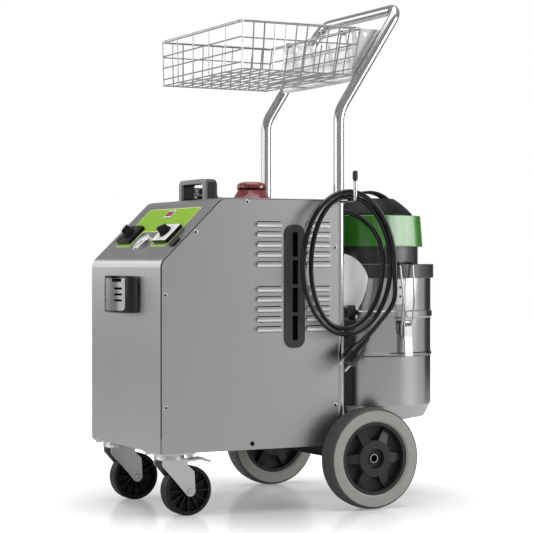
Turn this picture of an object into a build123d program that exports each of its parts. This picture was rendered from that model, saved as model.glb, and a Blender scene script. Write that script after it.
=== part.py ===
"""Steam cleaner on wheels with a wet vacuum on its back, piece by piece, in millimetres.

Z is up and the floor is Z = 0. The control panel faces -Y and the vacuum stands at +Y.
Left and right are as seen from the front, so right is +X.
"""
import os
from math import cos, hypot, pi, radians, sin, sqrt

from build123d import *

# Fits between pieces
FIT = 0.3
RUNNING = 0.05

# Body of bent sheet
BODY_WIDTH = 368.0
BODY_LENGTH = 400.0
BODY_HEIGHT = 506.0
FRONT_HEIGHT = 376.0
SLOPE_RUN = 134.0
SHEET = 1.5
BEND_RADIUS = 24.0
SEAM = 2.5
TRAY_WALL = 2.0
TRAY_HEIGHT = 30.0

# Louvres and grille strip of the side panels
LOUVRE_LENGTH = 56.0
LOUVRE_HEIGHT = 11.0
LOUVRE_OUT = 4.5
LOUVRE_CORNER = 5.0
LOUVRE_BULGE = 0.72
LOUVRE_BELLY = 0.16
LOUVRE_MOUTH = 2.0
LOUVRE_PITCH = 20.2
LOUVRES_IN_GROUP = 5
LOUVRE_COLUMNS = (239.0, 352.0)
LOUVRE_TOP_ROWS = (452.0, 321.0)
STRIP_WIDTH = 46.0
STRIP_LENGTH = 251.0
STRIP_CORNER = 19.0
STRIP_OUT = 4.0
STRIP_BACK = 297.0
STRIP_CENTRE = 328.0
STRIP_SLOT_WIDTH = 12.7
STRIP_SLOT_LENGTH = 50.0
STRIP_SLOT_PITCH = 56.6
STRIP_SLOTS = 4

# Controls on the slope, placed across and up the slope
PLATE_WIDTH = 262.0
PLATE_LOW = 90.0
PLATE_HIGH = 161.0
PLATE_TAB_LOW = 47.0
PLATE_TAB_INNER = 54.0
PLATE_THICK = 1.0
PLATE_CORNER = 6.0
SWITCH_ACROSS = 95.0
SWITCH_UP = 79.0
SWITCH_WIDTH = 72.0
SWITCH_LENGTH = 48.0
SWITCH_HIGH = 8.0
SWITCH_CORNER = 5.0
KNOB_RADIUS = 14.0
KNOB_BASE = 4.0
KNOB_GRIP_LENGTH = 28.0
KNOB_GRIP_WIDTH = 11.0
KNOB_GRIP_HIGH = 13.0
KNOB_DRAFT = 8.0
KNOB_SHAFT_RADIUS = 3.0
KNOB_SHAFT_LENGTH = 6.0
SELECTOR_REST = 120.0
HEAT_REST = 35.0
GAUGE_UP = 57.0
GAUGE_RADIUS = 23.0
GAUGE_HIGH = 7.0
GAUGE_RIM = 1.8
GAUGE_DEPTH = 2.6
GAUGE_BACK_RADIUS = 19.0
GAUGE_BACK_LENGTH = 28.0
NEEDLE_LENGTH = 17.0
NEEDLE_TAIL = 5.0
NEEDLE_WIDTH = 1.6
NEEDLE_THICK = 0.6
NEEDLE_PIN_RADIUS = 1.2
NEEDLE_REST = 225.0
GLASS_THICK = 0.8
LAMP_ACROSS = 5.0
LAMP_UP = 142.0
LAMP_WIDTH = 30.0
LAMP_LENGTH = 14.0
LAMP_HIGH = 3.0
BUTTON_ACROSS = 160.0
BUTTON_UP = 58.0
BUTTON_SIZE = 22.0
BUTTON_HIGH = 2.5
BUTTON_STEM = 12.0
BUTTON_STEM_LENGTH = 8.0
BUTTON_TRAVEL = 1.5

# Steam socket on the front
SOCKET_WIDTH = 164.0
SOCKET_DEPTH = 35.0
SOCKET_LOW = 274.0
SOCKET_HIGH = 349.0
FLAP_WIDTH = 108.0
FLAP_THICK = 3.0
FLAP_GAP = 0.6
FLAP_EDGE = 4.0
FLAP_CORNER = 8.0
FLAP_PIN_RADIUS = 2.0
FLAP_PIN_DEPTH = 12.0
FLAP_PIN_DROP = 12.0
FLAP_LUG_RADIUS = 5.0
FLAP_LUG_WIDTH = 6.0
FLAP_LUG_ACROSS = 40.0
FLAP_RIB_LENGTH = 23.0
FLAP_RIB_HEIGHT = 4.4
FLAP_RIB_PITCH = 12.0
FLAP_RIB_ACROSS = 35.0
COUPLING_RADIUS = 17.0
COUPLING_BORE = 8.0
COUPLING_OUT = 8.0
COUPLING_BORE_LENGTH = 30.0
STEAM_PIPE_RADIUS = 8.0

# Loop handle and filler on the top
LOOP_BACK = 152.0
LOOP_WIDTH = 130.0
LOOP_HEIGHT = 43.0
LOOP_DEPTH = 30.0
LOOP_CORNER = 14.0
LOOP_ROUND = 6.0
LOOP_LEG = 13.0
LOOP_BAR = 9.0
LOOP_FOOT_DEPTH = 12.0
LOOP_FOOT_HIGH = 5.0
FILLER_BACK = 292.0
COLLAR_RADIUS = 45.0
COLLAR_TOP_RADIUS = 36.0
COLLAR_HEIGHT = 25.0
NECK_RADIUS = 29.0
NECK_BORE = 24.0
CAP_RADIUS = 35.5
CAP_HEIGHT = 13.0
CAP_DOME = 3.0
CAP_PLUG_LENGTH = 18.0

# Push handle of bent tube and the plate that carries the basket
TUBE_RADIUS = 11.0
TUBE_WALL = 1.5
TUBE_INSET = 19.0
POST_BOTTOM = 150.0
POST_TOP = 682.0
HANDLE_BEND = 817.0
HANDLE_BACK = 558.0
HANDLE_TOP = 1043.0
HANDLE_BEND_RADIUS = 70.0
HANDLE_CORNER_RADIUS = 34.0
BRACKET_SHEET = 2.0
BRACKET_BACK = 449.5
BRACKET_LOW = 884.0
BRACKET_HIGH = 973.0
CHEEK_HIGH = 996.0
CHEEK_HOLE_RADIUS = 5.5
HOOK_TAB_WIDTH = 14.0
HOOK_TAB_ACROSS = 120.0
SEAT_TAB_ACROSS = 60.0

# Wire basket
BASKET_WIDTH = 396.0
BASKET_FRONT = 173.0
BASKET_BACK = 444.0
BASKET_RIM = 989.0
BASKET_FLOOR = 893.0
BASKET_FLOOR_WIDTH = 384.0
BASKET_FLOOR_BACK = 428.0
RIM_WIRE = 6.0
RIM_CORNER = 14.0
NET_WIRE = 3.0
FRONT_GAPS = 5
SIDE_GAPS = 11
FRONT_LEVELS = (0.33, 0.6, 0.86)
SIDE_LEVELS = (0.35,)

# Cable, its hook and its plug
CABLE_DIAMETER = 10.0
HOOK_ROD_RADIUS = 4.0
HOOK_REACH = 49.0
HOOK_HEIGHT = 632.0
HOOK_TOP = 693.0
HOOK_BEND = 10.0
HOOK_TIP_LENGTH = 18.0
HOOK_TIP_RADIUS = 5.5
GLAND_INSET = 44.0
GLAND_DROP = 23.0
GLAND_RADIUS = 11.0
GLAND_LENGTH = 26.0
GLAND_END_RADIUS = 6.5
COIL_PITCH = 12.0
COIL_CLEAR = 9.0
COIL_SIDE_HEIGHT = 500.0
COIL_BACK_REACH = (90.0, 101.0, 105.0)
COIL_FRONT_REACH = (84.0, 108.0)
COIL_BOTTOM = (369.0, 358.0)
COIL_BOTTOM_SHIFT = -6.0
COIL_STACK = (0.0, 9.5)
COIL_STACK_ACROSS = (9.0, 3.0)
PLUG_BACK = 450.0
PLUG_HEIGHT = 352.0
PLUG_TILT = 44.0
BOOT_LENGTH = 30.0
BOOT_RADIUS = 10.0
PLUG_RADIUS = 18.0
PLUG_LENGTH = 38.0
PLUG_PIN_RADIUS = 2.4
PLUG_PIN_LENGTH = 19.0
PLUG_PIN_PITCH = 19.0

# Rear wheels and axle
WHEEL_RADIUS = 104.0
WHEEL_FACE_RADIUS = 98.0
WHEEL_WIDTH = 48.0
WHEEL_GAP = 15.0
AXLE_BACK = 452.0
AXLE_RADIUS = 10.0
AXLE_BORE = 7.5
HUB_RADIUS = 75.0
HUB_RIM = 7.0
HUB_WIDTH = 46.0
HUB_RIM_WIDTH = 42.0
HUB_WEB = 8.0
HUB_BOSS_RADIUS = 37.0
HUB_RECESS_RADIUS = 20.5
HUB_RECESS = 9.0
HUB_SPOKES = 6
HUB_SPOKE_ROOT = 22.0
HUB_SPOKE_TIP = 13.0
HUB_SPOKE_DEPTH = 42.0
HUB_SPOKE_END_DEPTH = 18.0
AXLE_PROUD = 3.0

# Castors
CASTOR_HEIGHT = 129.0
CASTOR_INSET = 50.0
CASTOR_BACK = 40.0
CASTOR_TRAIL = 37.0
CASTOR_RADIUS = 50.0
CASTOR_WIDTH = 32.0
CASTOR_PLATE_WIDTH = 96.0
CASTOR_PLATE_LENGTH = 76.0
CASTOR_PLATE_THICK = 3.5
CASTOR_BOLT_RADIUS = 4.0
CASTOR_BOLT_INSET = 10.0
CASTOR_BOLT_HIGH = 5.0
KINGPIN_RADIUS = 6.0
FORK_HEAD_RADIUS = 31.0
FORK_HEAD_HIGH = 11.0
FORK_SHEET = 3.0
FORK_INSIDE = 38.0
FORK_EYE_RADIUS = 11.0
FORK_SKIRT = 12.0
FORK_WAIST = 26.0
FORK_AXLE_RADIUS = 5.0
CASTOR_RIBS = 12
CASTOR_RIB_THICK = 3.0
CASTOR_TREAD = 8.0
CASTOR_HUB_RADIUS = 12.0
CASTOR_WEB = 8.0
PEDAL_PIN_RADIUS = 3.0
PEDAL_PIN_BACK = 26.0
PEDAL_LENGTH = 60.0
PEDAL_WIDTH = 32.0
PEDAL_THICK = 4.0
PEDAL_KICK = 3.0
PEDAL_BARREL = 5.0

# Vacuum behind the body
VAC_BACK = 580.0
DRUM_RADIUS = 137.0
DRUM_FOOT_RADIUS = 122.0
DRUM_WALL = 2.0
DRUM_BOTTOM = 171.0
DRUM_TAPER_TOP = 200.0
DRUM_TOP = 472.0
BEAD_LOW = 304.0
BEAD_HIGH = 313.0
BEAD_OUT = 2.5
RIB_LOW = 386.0
RIB_HIGH = 403.0
RIB_OUT = 3.0
RING_RADIUS = 143.0
RING_TOP = 502.0
RING_SHEET = 3.0
HEAD_NECK_RADIUS = 109.0
HEAD_NECK_TOP = 540.0
HEAD_WALL = 4.0
BAND_RADIUS = 119.0
BAND_TOP_RADIUS = 114.5
BAND_LIP = 3.0
BAND_TOP = 607.0
DOME_RADIUS = 96.0
DOME_FLAT_RADIUS = 56.0
DOME_LIP = 4.0
DOME_HIGH = 38.0
DOME_SWELL = 1.5
DISH_RADIUS = 44.0
DISH_DEPTH = 22.0
GRIP_RISE = 18.0
GRIP_THICK = 6.0
GRIP_WIDTH = 22.0
GRIP_REACH = 52.0
CLAMP_ANGLE = 3.0
CLAMP_REACH = 146.0
CLAMP_PIVOT = 378.0
CLAMP_BAIL_PIVOT = 352.0
CLAMP_BASE_HALF = 6.0
CLAMP_BASE_HEIGHT = 34.0
CLAMP_PIN_RADIUS = 2.5
LEVER_HALF = 9.5
LEVER_SHEET = 1.5
LEVER_PLATE = 2.5
LEVER_STEP = 3.5
LEVER_LOW = 306.0
LEVER_OPEN = 8.0
LEVER_EAR_RADIUS = 5.5
BAIL_WIRE = 4.0
BAIL_BOTTOM_HALF = 12.5
BAIL_TOP_HALF = 16.5
BAIL_HOOK_REACH = 132.0
BAIL_BOW = 157.0
BAIL_BOW_HEIGHT = 430.0
BAIL_BOW_RADIUS = 200.0
GUIDE_TURN = -4.0
GUIDE_WIDTH = 26.0
GUIDE_LOW = 416.0
GUIDE_HIGH = 469.0
GUIDE_SHEET = 1.5
INLET_ANGLE = 150.0
INLET_HEIGHT = 348.0
INLET_RADIUS = 25.0
INLET_BORE = 20.0
INLET_LENGTH = 46.0
INLET_FLANGE_RADIUS = 34.0
INLET_FLANGE = 5.0
MOTOR_RADIUS = 62.0
MOTOR_LENGTH = 84.0

# Frame that carries the axle and the drum, and the cradle round the drum
RAIL_ACROSS = 80.0
RAIL_THICK = 10.0
RAIL_FRONT = 330.0
RAIL_END = 600.0
RAIL_EYE = 16.0
RAIL_CLIMB = 12.0
RAIL_TAIL = 20.0
RAIL_NOSE = 14.0
SHELF_RADIUS = 100.0
SHELF_SHEET = 4.0
CRADLE_SHEET = 2.5
CRADLE_INSET = 33.0
CRADLE_LAP = 12.0
CRADLE_LOW = 388.0
CRADLE_HIGH = 523.0
WING_POINT_BACK = 490.0
WING_POINT_HEIGHT = 475.0
WING_TOP_BACK = 434.0
WING_CROWN = 7.0
WING_FOOT_BACK = 462.0
WING_WAIST_HEIGHT = 412.0
STAR_BACK = 443.0
STAR_HEIGHT = 401.0
STAR_RADIUS = 16.0
STAR_LOBES = 5
STAR_LOBE_RADIUS = 5.0
STAR_LENGTH = 15.0
STAR_STEM_RADIUS = 4.0
STAR_STEM_LENGTH = 10.0

# Inside the body
BOILER_RADIUS = 78.0
BOILER_LENGTH = 230.0
BOILER_BACK = 215.0
BOILER_DOME = 22.0
BOILER_WALL = 3.0
BOILER_FOOT_HIGH = 14.0
BOILER_FOOT_WIDTH = 110.0
BOILER_FOOT_THICK = 18.0
TANK_WIDTH = 300.0
TANK_LENGTH = 150.0
TANK_DROP = 51.0
TANK_HEIGHT = 155.0
TANK_CORNER = 18.0
TANK_WALL = 3.0

# Places that follow from the sizes above
TOTAL_LENGTH = SOCKET_DEPTH + VAC_BACK + RING_RADIUS
FRONT_Y = SOCKET_DEPTH - TOTAL_LENGTH / 2
REAR_Y = FRONT_Y + BODY_LENGTH
BODY_Z = CASTOR_HEIGHT
TOP_Z = BODY_Z + BODY_HEIGHT
SLOPE_Z = BODY_Z + FRONT_HEIGHT
SLOPE_RISE = BODY_HEIGHT - FRONT_HEIGHT
SLOPE_LENGTH = hypot(SLOPE_RUN, SLOPE_RISE)
HALF_WIDTH = BODY_WIDTH / 2
LOUVRE_HALF = LOUVRE_HEIGHT / 2
WRAP_HALF = HALF_WIDTH - SHEET - SEAM / 2
TUBE_ACROSS = HALF_WIDTH - TUBE_INSET
HOOK_OUT = HALF_WIDTH + HOOK_REACH
GLAND_ACROSS = HALF_WIDTH - GLAND_INSET
GLAND_HEIGHT = TOP_Z - GLAND_DROP
COIL_START_ACROSS = HALF_WIDTH + COIL_CLEAR
WHEEL_ACROSS = HALF_WIDTH + WHEEL_GAP + WHEEL_WIDTH / 2
CASTOR_ACROSS = HALF_WIDTH - CASTOR_INSET
CRADLE_ACROSS = HALF_WIDTH - CRADLE_INSET
TANK_TOP = TOP_Z - TANK_DROP
TANK_Z = TANK_TOP - TANK_HEIGHT
TUBE_Y = REAR_Y + TUBE_RADIUS + FIT
VAC_Y = FRONT_Y + VAC_BACK
DOME_TOP = BAND_TOP + DOME_HIGH
GRIP_TOP = DOME_TOP + GRIP_RISE
AXLE_Y = FRONT_Y + AXLE_BACK
AXLE_Z = WHEEL_RADIUS
FLOOR_Z = BODY_Z + TRAY_WALL
SLOPE = Plane(
    origin=(0, FRONT_Y, SLOPE_Z),
    x_dir=(1, 0, 0),
    z_dir=(0, -SLOPE_RISE, SLOPE_RUN),
)
SLOPE_AXIS = Axis(SLOPE.origin, SLOPE.z_dir)
NODES = {}


def back(distance):
    """Y of a place that lies this far behind the front face."""
    return FRONT_Y + distance


def keep(part, name):
    """Label a finished piece and note it for writing."""
    part.label = name
    NODES[name] = part


def body_corners(inset):
    """Front Y, low and high slope corners and top Z of the body's outline, set in by inset."""
    drop = inset * SLOPE_LENGTH / SLOPE_RUN
    front = FRONT_Y + inset
    low = SLOPE_Z + inset * SLOPE_RISE / SLOPE_RUN - drop
    top = TOP_Z - inset
    high = FRONT_Y + (top - SLOPE_Z + drop) * SLOPE_RUN / SLOPE_RISE
    return front, low, high, top


def body_line(inset, end_y):
    """Front, slope and top as one bent line from the bottom to end_y, set in by inset."""
    front, low, high, top = body_corners(inset)
    points = [(front, BODY_Z), (front, low), (high, top), (end_y, top)]
    return FilletPolyline(*points, radius=BEND_RADIUS - inset)


# Chassis tray
with BuildPart() as chassis_base:
    with BuildSketch(Plane.XY.offset(BODY_Z)):
        with Locations((0, (FRONT_Y + REAR_Y) / 2)):
            Rectangle(BODY_WIDTH - 2 * SHEET, BODY_LENGTH - 2 * SHEET)
    extrude(amount=TRAY_HEIGHT)
    offset(amount=-TRAY_WALL, openings=chassis_base.faces().sort_by(Axis.Z)[-1])
keep(chassis_base.part, "chassis_base")

# Front, slope and top in one bent sheet
with BuildPart() as front_panel:
    with BuildSketch(Plane.YZ):
        with BuildLine():
            outer = body_line(0, REAR_Y - SHEET)
            inner = body_line(SHEET, REAR_Y - SHEET)
            Line(outer @ 0, inner @ 0)
            Line(outer @ 1, inner @ 1)
        make_face()
    extrude(amount=WRAP_HALF, both=True)
    with BuildSketch(SLOPE):
        with Locations((0, GAUGE_UP)):
            Circle(GAUGE_BACK_RADIUS + FIT)
        with Locations((BUTTON_ACROSS, BUTTON_UP)):
            Rectangle(BUTTON_STEM + 2 * FIT, BUTTON_STEM + 2 * FIT)
    extrude(amount=2 * SHEET, both=True, mode=Mode.SUBTRACT)
    with BuildSketch(Plane.XY.offset(TOP_Z)):
        with Locations((0, back(FILLER_BACK))):
            Circle(NECK_RADIUS + FIT)
    extrude(amount=2 * SHEET, both=True, mode=Mode.SUBTRACT)
    with BuildSketch(Plane.XZ.offset(-FRONT_Y)):
        with Locations((0, BODY_Z + (SOCKET_LOW + SOCKET_HIGH) / 2)):
            Circle(COUPLING_RADIUS + FIT)
    extrude(amount=2 * SHEET, both=True, mode=Mode.SUBTRACT)
keep(front_panel.part, "front_panel")

# One louvre hood, modelled at the origin: it slopes out along +X as it rises and is open at its top
with BuildPart() as louvre:
    with BuildSketch(Plane.XZ.offset(-LOUVRE_LENGTH / 2)):
        with BuildLine():
            hood = ThreePointArc(
                (0, -LOUVRE_HALF),
                (LOUVRE_OUT * LOUVRE_BULGE, -LOUVRE_HEIGHT * LOUVRE_BELLY),
                (LOUVRE_OUT, LOUVRE_HALF),
            )
            Polyline(hood @ 1, (-SHEET, LOUVRE_HALF), (-SHEET, -LOUVRE_HALF), hood @ 0)
        make_face()
    extrude(amount=LOUVRE_LENGTH)
    with BuildSketch(Plane.YZ.offset(-SHEET)):
        RectangleRounded(LOUVRE_LENGTH, LOUVRE_HEIGHT, LOUVRE_CORNER)
        with Locations((0, LOUVRE_HALF / 2)):
            Rectangle(LOUVRE_LENGTH, LOUVRE_HALF)
    extrude(amount=SHEET + LOUVRE_OUT, mode=Mode.INTERSECT)

# The space inside one louvre hood
with BuildPart() as louvre_space:
    with BuildSketch(Plane.XZ.offset(-LOUVRE_LENGTH / 2 + SHEET)):
        with BuildLine():
            lining = ThreePointArc(
                (-SHEET, SHEET - LOUVRE_HALF),
                (LOUVRE_OUT * LOUVRE_BULGE - SHEET, SHEET - LOUVRE_HEIGHT * LOUVRE_BELLY),
                (LOUVRE_OUT - SHEET, LOUVRE_HALF),
            )
            Polyline(
                lining @ 1,
                (LOUVRE_OUT - SHEET, LOUVRE_HALF + LOUVRE_MOUTH),
                (-2 * SHEET, LOUVRE_HALF + LOUVRE_MOUTH),
                (-2 * SHEET, SHEET - LOUVRE_HALF),
                lining @ 0,
            )
        make_face()
    extrude(amount=LOUVRE_LENGTH - 2 * SHEET)

LOUVRE_PLACES = [
    Location((HALF_WIDTH, back(column), BODY_Z + top_row - row * LOUVRE_PITCH))
    for column in LOUVRE_COLUMNS
    for top_row in LOUVRE_TOP_ROWS
    for row in range(LOUVRES_IN_GROUP)
]

# Side panel with its louvres and the slot behind the grille strip
with BuildPart() as side_panel_right:
    with BuildSketch(Plane.YZ.offset(HALF_WIDTH - SHEET)):
        with BuildLine():
            edge = body_line(SEAM, REAR_Y)
            Polyline(edge @ 1, (REAR_Y, BODY_Z), edge @ 0)
        make_face()
        with Locations((back(STRIP_BACK), BODY_Z + STRIP_CENTRE)):
            Rectangle(STRIP_WIDTH / 2, STRIP_LENGTH - STRIP_CORNER, mode=Mode.SUBTRACT)
    extrude(amount=SHEET)
    with Locations(*LOUVRE_PLACES):
        add(louvre.part)
        add(louvre_space.part, mode=Mode.SUBTRACT)
keep(side_panel_right.part, "side_panel_right")
keep(mirror(side_panel_right.part, about=Plane.YZ), "side_panel_left")

# Rear panel between the side panels
with BuildPart() as rear_panel:
    with BuildSketch(Plane.XZ.offset(-REAR_Y)):
        with Locations((0, BODY_Z + BODY_HEIGHT / 2)):
            Rectangle(BODY_WIDTH - 2 * SHEET, BODY_HEIGHT)
        with Locations((GLAND_ACROSS, GLAND_HEIGHT)):
            Circle(GLAND_RADIUS - SHEET, mode=Mode.SUBTRACT)
    extrude(amount=SHEET)
keep(rear_panel.part, "rear_panel")

# Slotted grille strip on each side panel
with BuildPart() as vent_strip:
    with BuildSketch(Plane.YZ.offset(HALF_WIDTH)):
        with Locations((back(STRIP_BACK), BODY_Z + STRIP_CENTRE)):
            RectangleRounded(STRIP_WIDTH, STRIP_LENGTH, STRIP_CORNER)
            with GridLocations(0, STRIP_SLOT_PITCH, 1, STRIP_SLOTS):
                RectangleRounded(
                    STRIP_SLOT_WIDTH, STRIP_SLOT_LENGTH, STRIP_SLOT_WIDTH / 5, mode=Mode.SUBTRACT
                )
    extrude(amount=STRIP_OUT)
    chamfer(vent_strip.faces().sort_by(Axis.X)[-1].outer_wire().edges(), length=STRIP_OUT / 3)
    mirror(about=Plane.YZ)
keep(vent_strip.part, "vent_strips")

# Green control plate with a tab round each switch box
with BuildPart() as control_plate:
    with BuildSketch(SLOPE) as plate_face:
        with Locations((0, (PLATE_LOW + PLATE_HIGH) / 2)):
            Rectangle(PLATE_WIDTH, PLATE_HIGH - PLATE_LOW)
        tab_width = PLATE_WIDTH / 2 - PLATE_TAB_INNER
        tab_centre = (PLATE_WIDTH / 2 + PLATE_TAB_INNER) / 2
        with Locations(
            (tab_centre, (PLATE_TAB_LOW + PLATE_LOW) / 2),
            (-tab_centre, (PLATE_TAB_LOW + PLATE_LOW) / 2),
        ):
            Rectangle(tab_width, PLATE_LOW - PLATE_TAB_LOW)
        fillet(plate_face.vertices(), PLATE_CORNER)
    extrude(amount=PLATE_THICK)
keep(control_plate.part, "control_plate")

# Switch boxes, bored for the knob shafts
with BuildPart() as switch_boxes:
    with BuildSketch(SLOPE.offset(PLATE_THICK)):
        with Locations((SWITCH_ACROSS, SWITCH_UP), (-SWITCH_ACROSS, SWITCH_UP)):
            RectangleRounded(SWITCH_WIDTH, SWITCH_LENGTH, SWITCH_CORNER)
            Circle(KNOB_SHAFT_RADIUS + RUNNING, mode=Mode.SUBTRACT)
    extrude(amount=SWITCH_HIGH)
keep(switch_boxes.part, "switch_boxes")


def rotary_knob(across, turn):
    """Knob with a bar grip on a switch box, its shaft in the box's bore."""
    seat = SLOPE.offset(PLATE_THICK + SWITCH_HIGH + FIT)
    with BuildPart() as knob:
        with BuildSketch(seat):
            with Locations((across, SWITCH_UP)):
                Circle(KNOB_RADIUS)
        extrude(amount=KNOB_BASE, taper=KNOB_DRAFT)
        with BuildSketch(seat):
            with Locations(Location((across, SWITCH_UP, 0), (0, 0, turn))):
                SlotOverall(KNOB_GRIP_LENGTH, KNOB_GRIP_WIDTH)
        extrude(amount=KNOB_BASE + KNOB_GRIP_HIGH, taper=KNOB_DRAFT)
        with BuildSketch(seat):
            with Locations((across, SWITCH_UP)):
                Circle(KNOB_SHAFT_RADIUS)
        extrude(amount=-KNOB_SHAFT_LENGTH)
    return knob.part


keep(rotary_knob(-SWITCH_ACROSS, SELECTOR_REST), "selector_knob")
keep(rotary_knob(SWITCH_ACROSS, HEAT_REST), "heat_knob")

# Pressure gauge: case with its dial, needle and glass
with BuildPart() as gauge_case:
    with BuildSketch(SLOPE):
        with Locations((0, GAUGE_UP)):
            Circle(GAUGE_RADIUS)
    extrude(amount=GAUGE_HIGH)
    chamfer(gauge_case.faces().sort_by(SLOPE_AXIS)[-1].edges(), length=GAUGE_RIM / 2.5)
    with BuildSketch(SLOPE):
        with Locations((0, GAUGE_UP)):
            Circle(GAUGE_BACK_RADIUS)
    extrude(amount=-GAUGE_BACK_LENGTH)
    with BuildSketch(SLOPE.offset(GAUGE_HIGH)):
        with Locations((0, GAUGE_UP)):
            Circle(GAUGE_RADIUS - GAUGE_RIM)
    extrude(amount=-GAUGE_DEPTH, mode=Mode.SUBTRACT)
    with BuildSketch(SLOPE.offset(GAUGE_HIGH - GAUGE_DEPTH)):
        with Locations((0, GAUGE_UP)):
            Circle(NEEDLE_PIN_RADIUS)
    extrude(amount=GAUGE_DEPTH - GLASS_THICK - 2 * FIT)
keep(gauge_case.part, "gauge_case")

with BuildPart() as gauge_needle:
    with BuildSketch(SLOPE.offset(GAUGE_HIGH - GAUGE_DEPTH + 2 * FIT)):
        with Locations(Location((0, GAUGE_UP, 0), (0, 0, NEEDLE_REST))):
            with Locations(((NEEDLE_LENGTH - NEEDLE_TAIL) / 2, 0)):
                Rectangle(NEEDLE_LENGTH + NEEDLE_TAIL, NEEDLE_WIDTH)
            Circle(2 * NEEDLE_PIN_RADIUS)
            Circle(NEEDLE_PIN_RADIUS + RUNNING, mode=Mode.SUBTRACT)
    extrude(amount=NEEDLE_THICK)
keep(gauge_needle.part, "gauge_needle")

with BuildPart() as gauge_glass:
    with BuildSketch(SLOPE.offset(GAUGE_HIGH - GLASS_THICK)):
        with Locations((0, GAUGE_UP)):
            Circle(GAUGE_RADIUS - GAUGE_RIM - RUNNING)
    extrude(amount=GLASS_THICK)
keep(gauge_glass.part, "gauge_glass")

# Indicator lamp and push button
with BuildPart() as indicator_lamp:
    with BuildSketch(SLOPE.offset(PLATE_THICK)):
        with Locations((LAMP_ACROSS, LAMP_UP)):
            Rectangle(LAMP_WIDTH, LAMP_LENGTH)
    extrude(amount=LAMP_HIGH, taper=12)
keep(indicator_lamp.part, "indicator_lamp")

with BuildPart() as push_button:
    with BuildSketch(SLOPE.offset(BUTTON_TRAVEL + FIT)):
        with Locations((BUTTON_ACROSS, BUTTON_UP)):
            RectangleRounded(BUTTON_SIZE, BUTTON_SIZE, BUTTON_SIZE / 8)
    extrude(amount=BUTTON_HIGH, taper=6)
    with BuildSketch(SLOPE.offset(BUTTON_TRAVEL + FIT)):
        with Locations((BUTTON_ACROSS, BUTTON_UP)):
            Rectangle(BUTTON_STEM, BUTTON_STEM)
    extrude(amount=-BUTTON_STEM_LENGTH)
keep(push_button.part, "push_button")

# Steam socket: housing with a bowed front, flap on a pin, coupling behind it
SOCKET_HALF = SOCKET_WIDTH / 2
SOCKET_BOW = (SOCKET_HALF**2 + SOCKET_DEPTH**2) / (2 * SOCKET_DEPTH)
SOCKET_AXIS_Y = FRONT_Y - SOCKET_DEPTH + SOCKET_BOW
SOCKET_Z = BODY_Z + SOCKET_LOW
SOCKET_TOP = BODY_Z + SOCKET_HIGH
FLAP_LOW = SOCKET_Z + FLAP_EDGE + FLAP_GAP
FLAP_TOP = SOCKET_TOP - FLAP_EDGE - FLAP_GAP
FLAP_PIN_Y = FRONT_Y - FLAP_PIN_DEPTH
FLAP_PIN_Z = SOCKET_TOP - FLAP_PIN_DROP


with BuildPart() as socket_housing:
    with BuildSketch(Plane.XY.offset(SOCKET_Z)):
        with BuildLine():
            bow = ThreePointArc(
                (-SOCKET_HALF, FRONT_Y), (0, FRONT_Y - SOCKET_DEPTH), (SOCKET_HALF, FRONT_Y)
            )
            Line(bow @ 1, bow @ 0)
        make_face()
    extrude(amount=SOCKET_HIGH - SOCKET_LOW)
    fillet(socket_housing.edges().filter_by(GeomType.CIRCLE), radius=FLAP_EDGE - FLAP_GAP)
    with BuildSketch(Plane.XY.offset(SOCKET_Z + FLAP_EDGE)):
        with Locations((0, SOCKET_AXIS_Y)):
            Circle(2 * SOCKET_BOW)
            Circle(SOCKET_BOW - FLAP_THICK - FLAP_GAP, mode=Mode.SUBTRACT)
        with Locations((0, FRONT_Y - SOCKET_BOW)):
            Rectangle(FLAP_WIDTH + 2 * FLAP_GAP, 2 * SOCKET_BOW, mode=Mode.INTERSECT)
    extrude(amount=SOCKET_HIGH, mode=Mode.SUBTRACT)
    with BuildSketch(Plane.XY.offset(SOCKET_Z + 2 * FLAP_EDGE)):
        with Locations((0, FRONT_Y - SOCKET_DEPTH / 2)):
            Rectangle(FLAP_WIDTH - 2 * FLAP_EDGE, SOCKET_DEPTH + 2 * FIT)
    extrude(amount=SOCKET_HIGH - SOCKET_LOW - 3 * FLAP_EDGE, mode=Mode.SUBTRACT)
    with BuildSketch(Plane.XY.offset(SOCKET_Z + 2 * FLAP_EDGE)):
        with Locations((0, FRONT_Y - SOCKET_DEPTH / 2 - FLAP_EDGE)):
            Rectangle(FLAP_WIDTH + 2 * FLAP_GAP, SOCKET_DEPTH)
    extrude(amount=SOCKET_HIGH, mode=Mode.SUBTRACT)
    with Locations(Location((0, FLAP_PIN_Y, FLAP_PIN_Z), (0, 90, 0))):
        Cylinder(FLAP_PIN_RADIUS, FLAP_WIDTH + 2 * FLAP_EDGE)
keep(socket_housing.part, "socket_housing")

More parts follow.
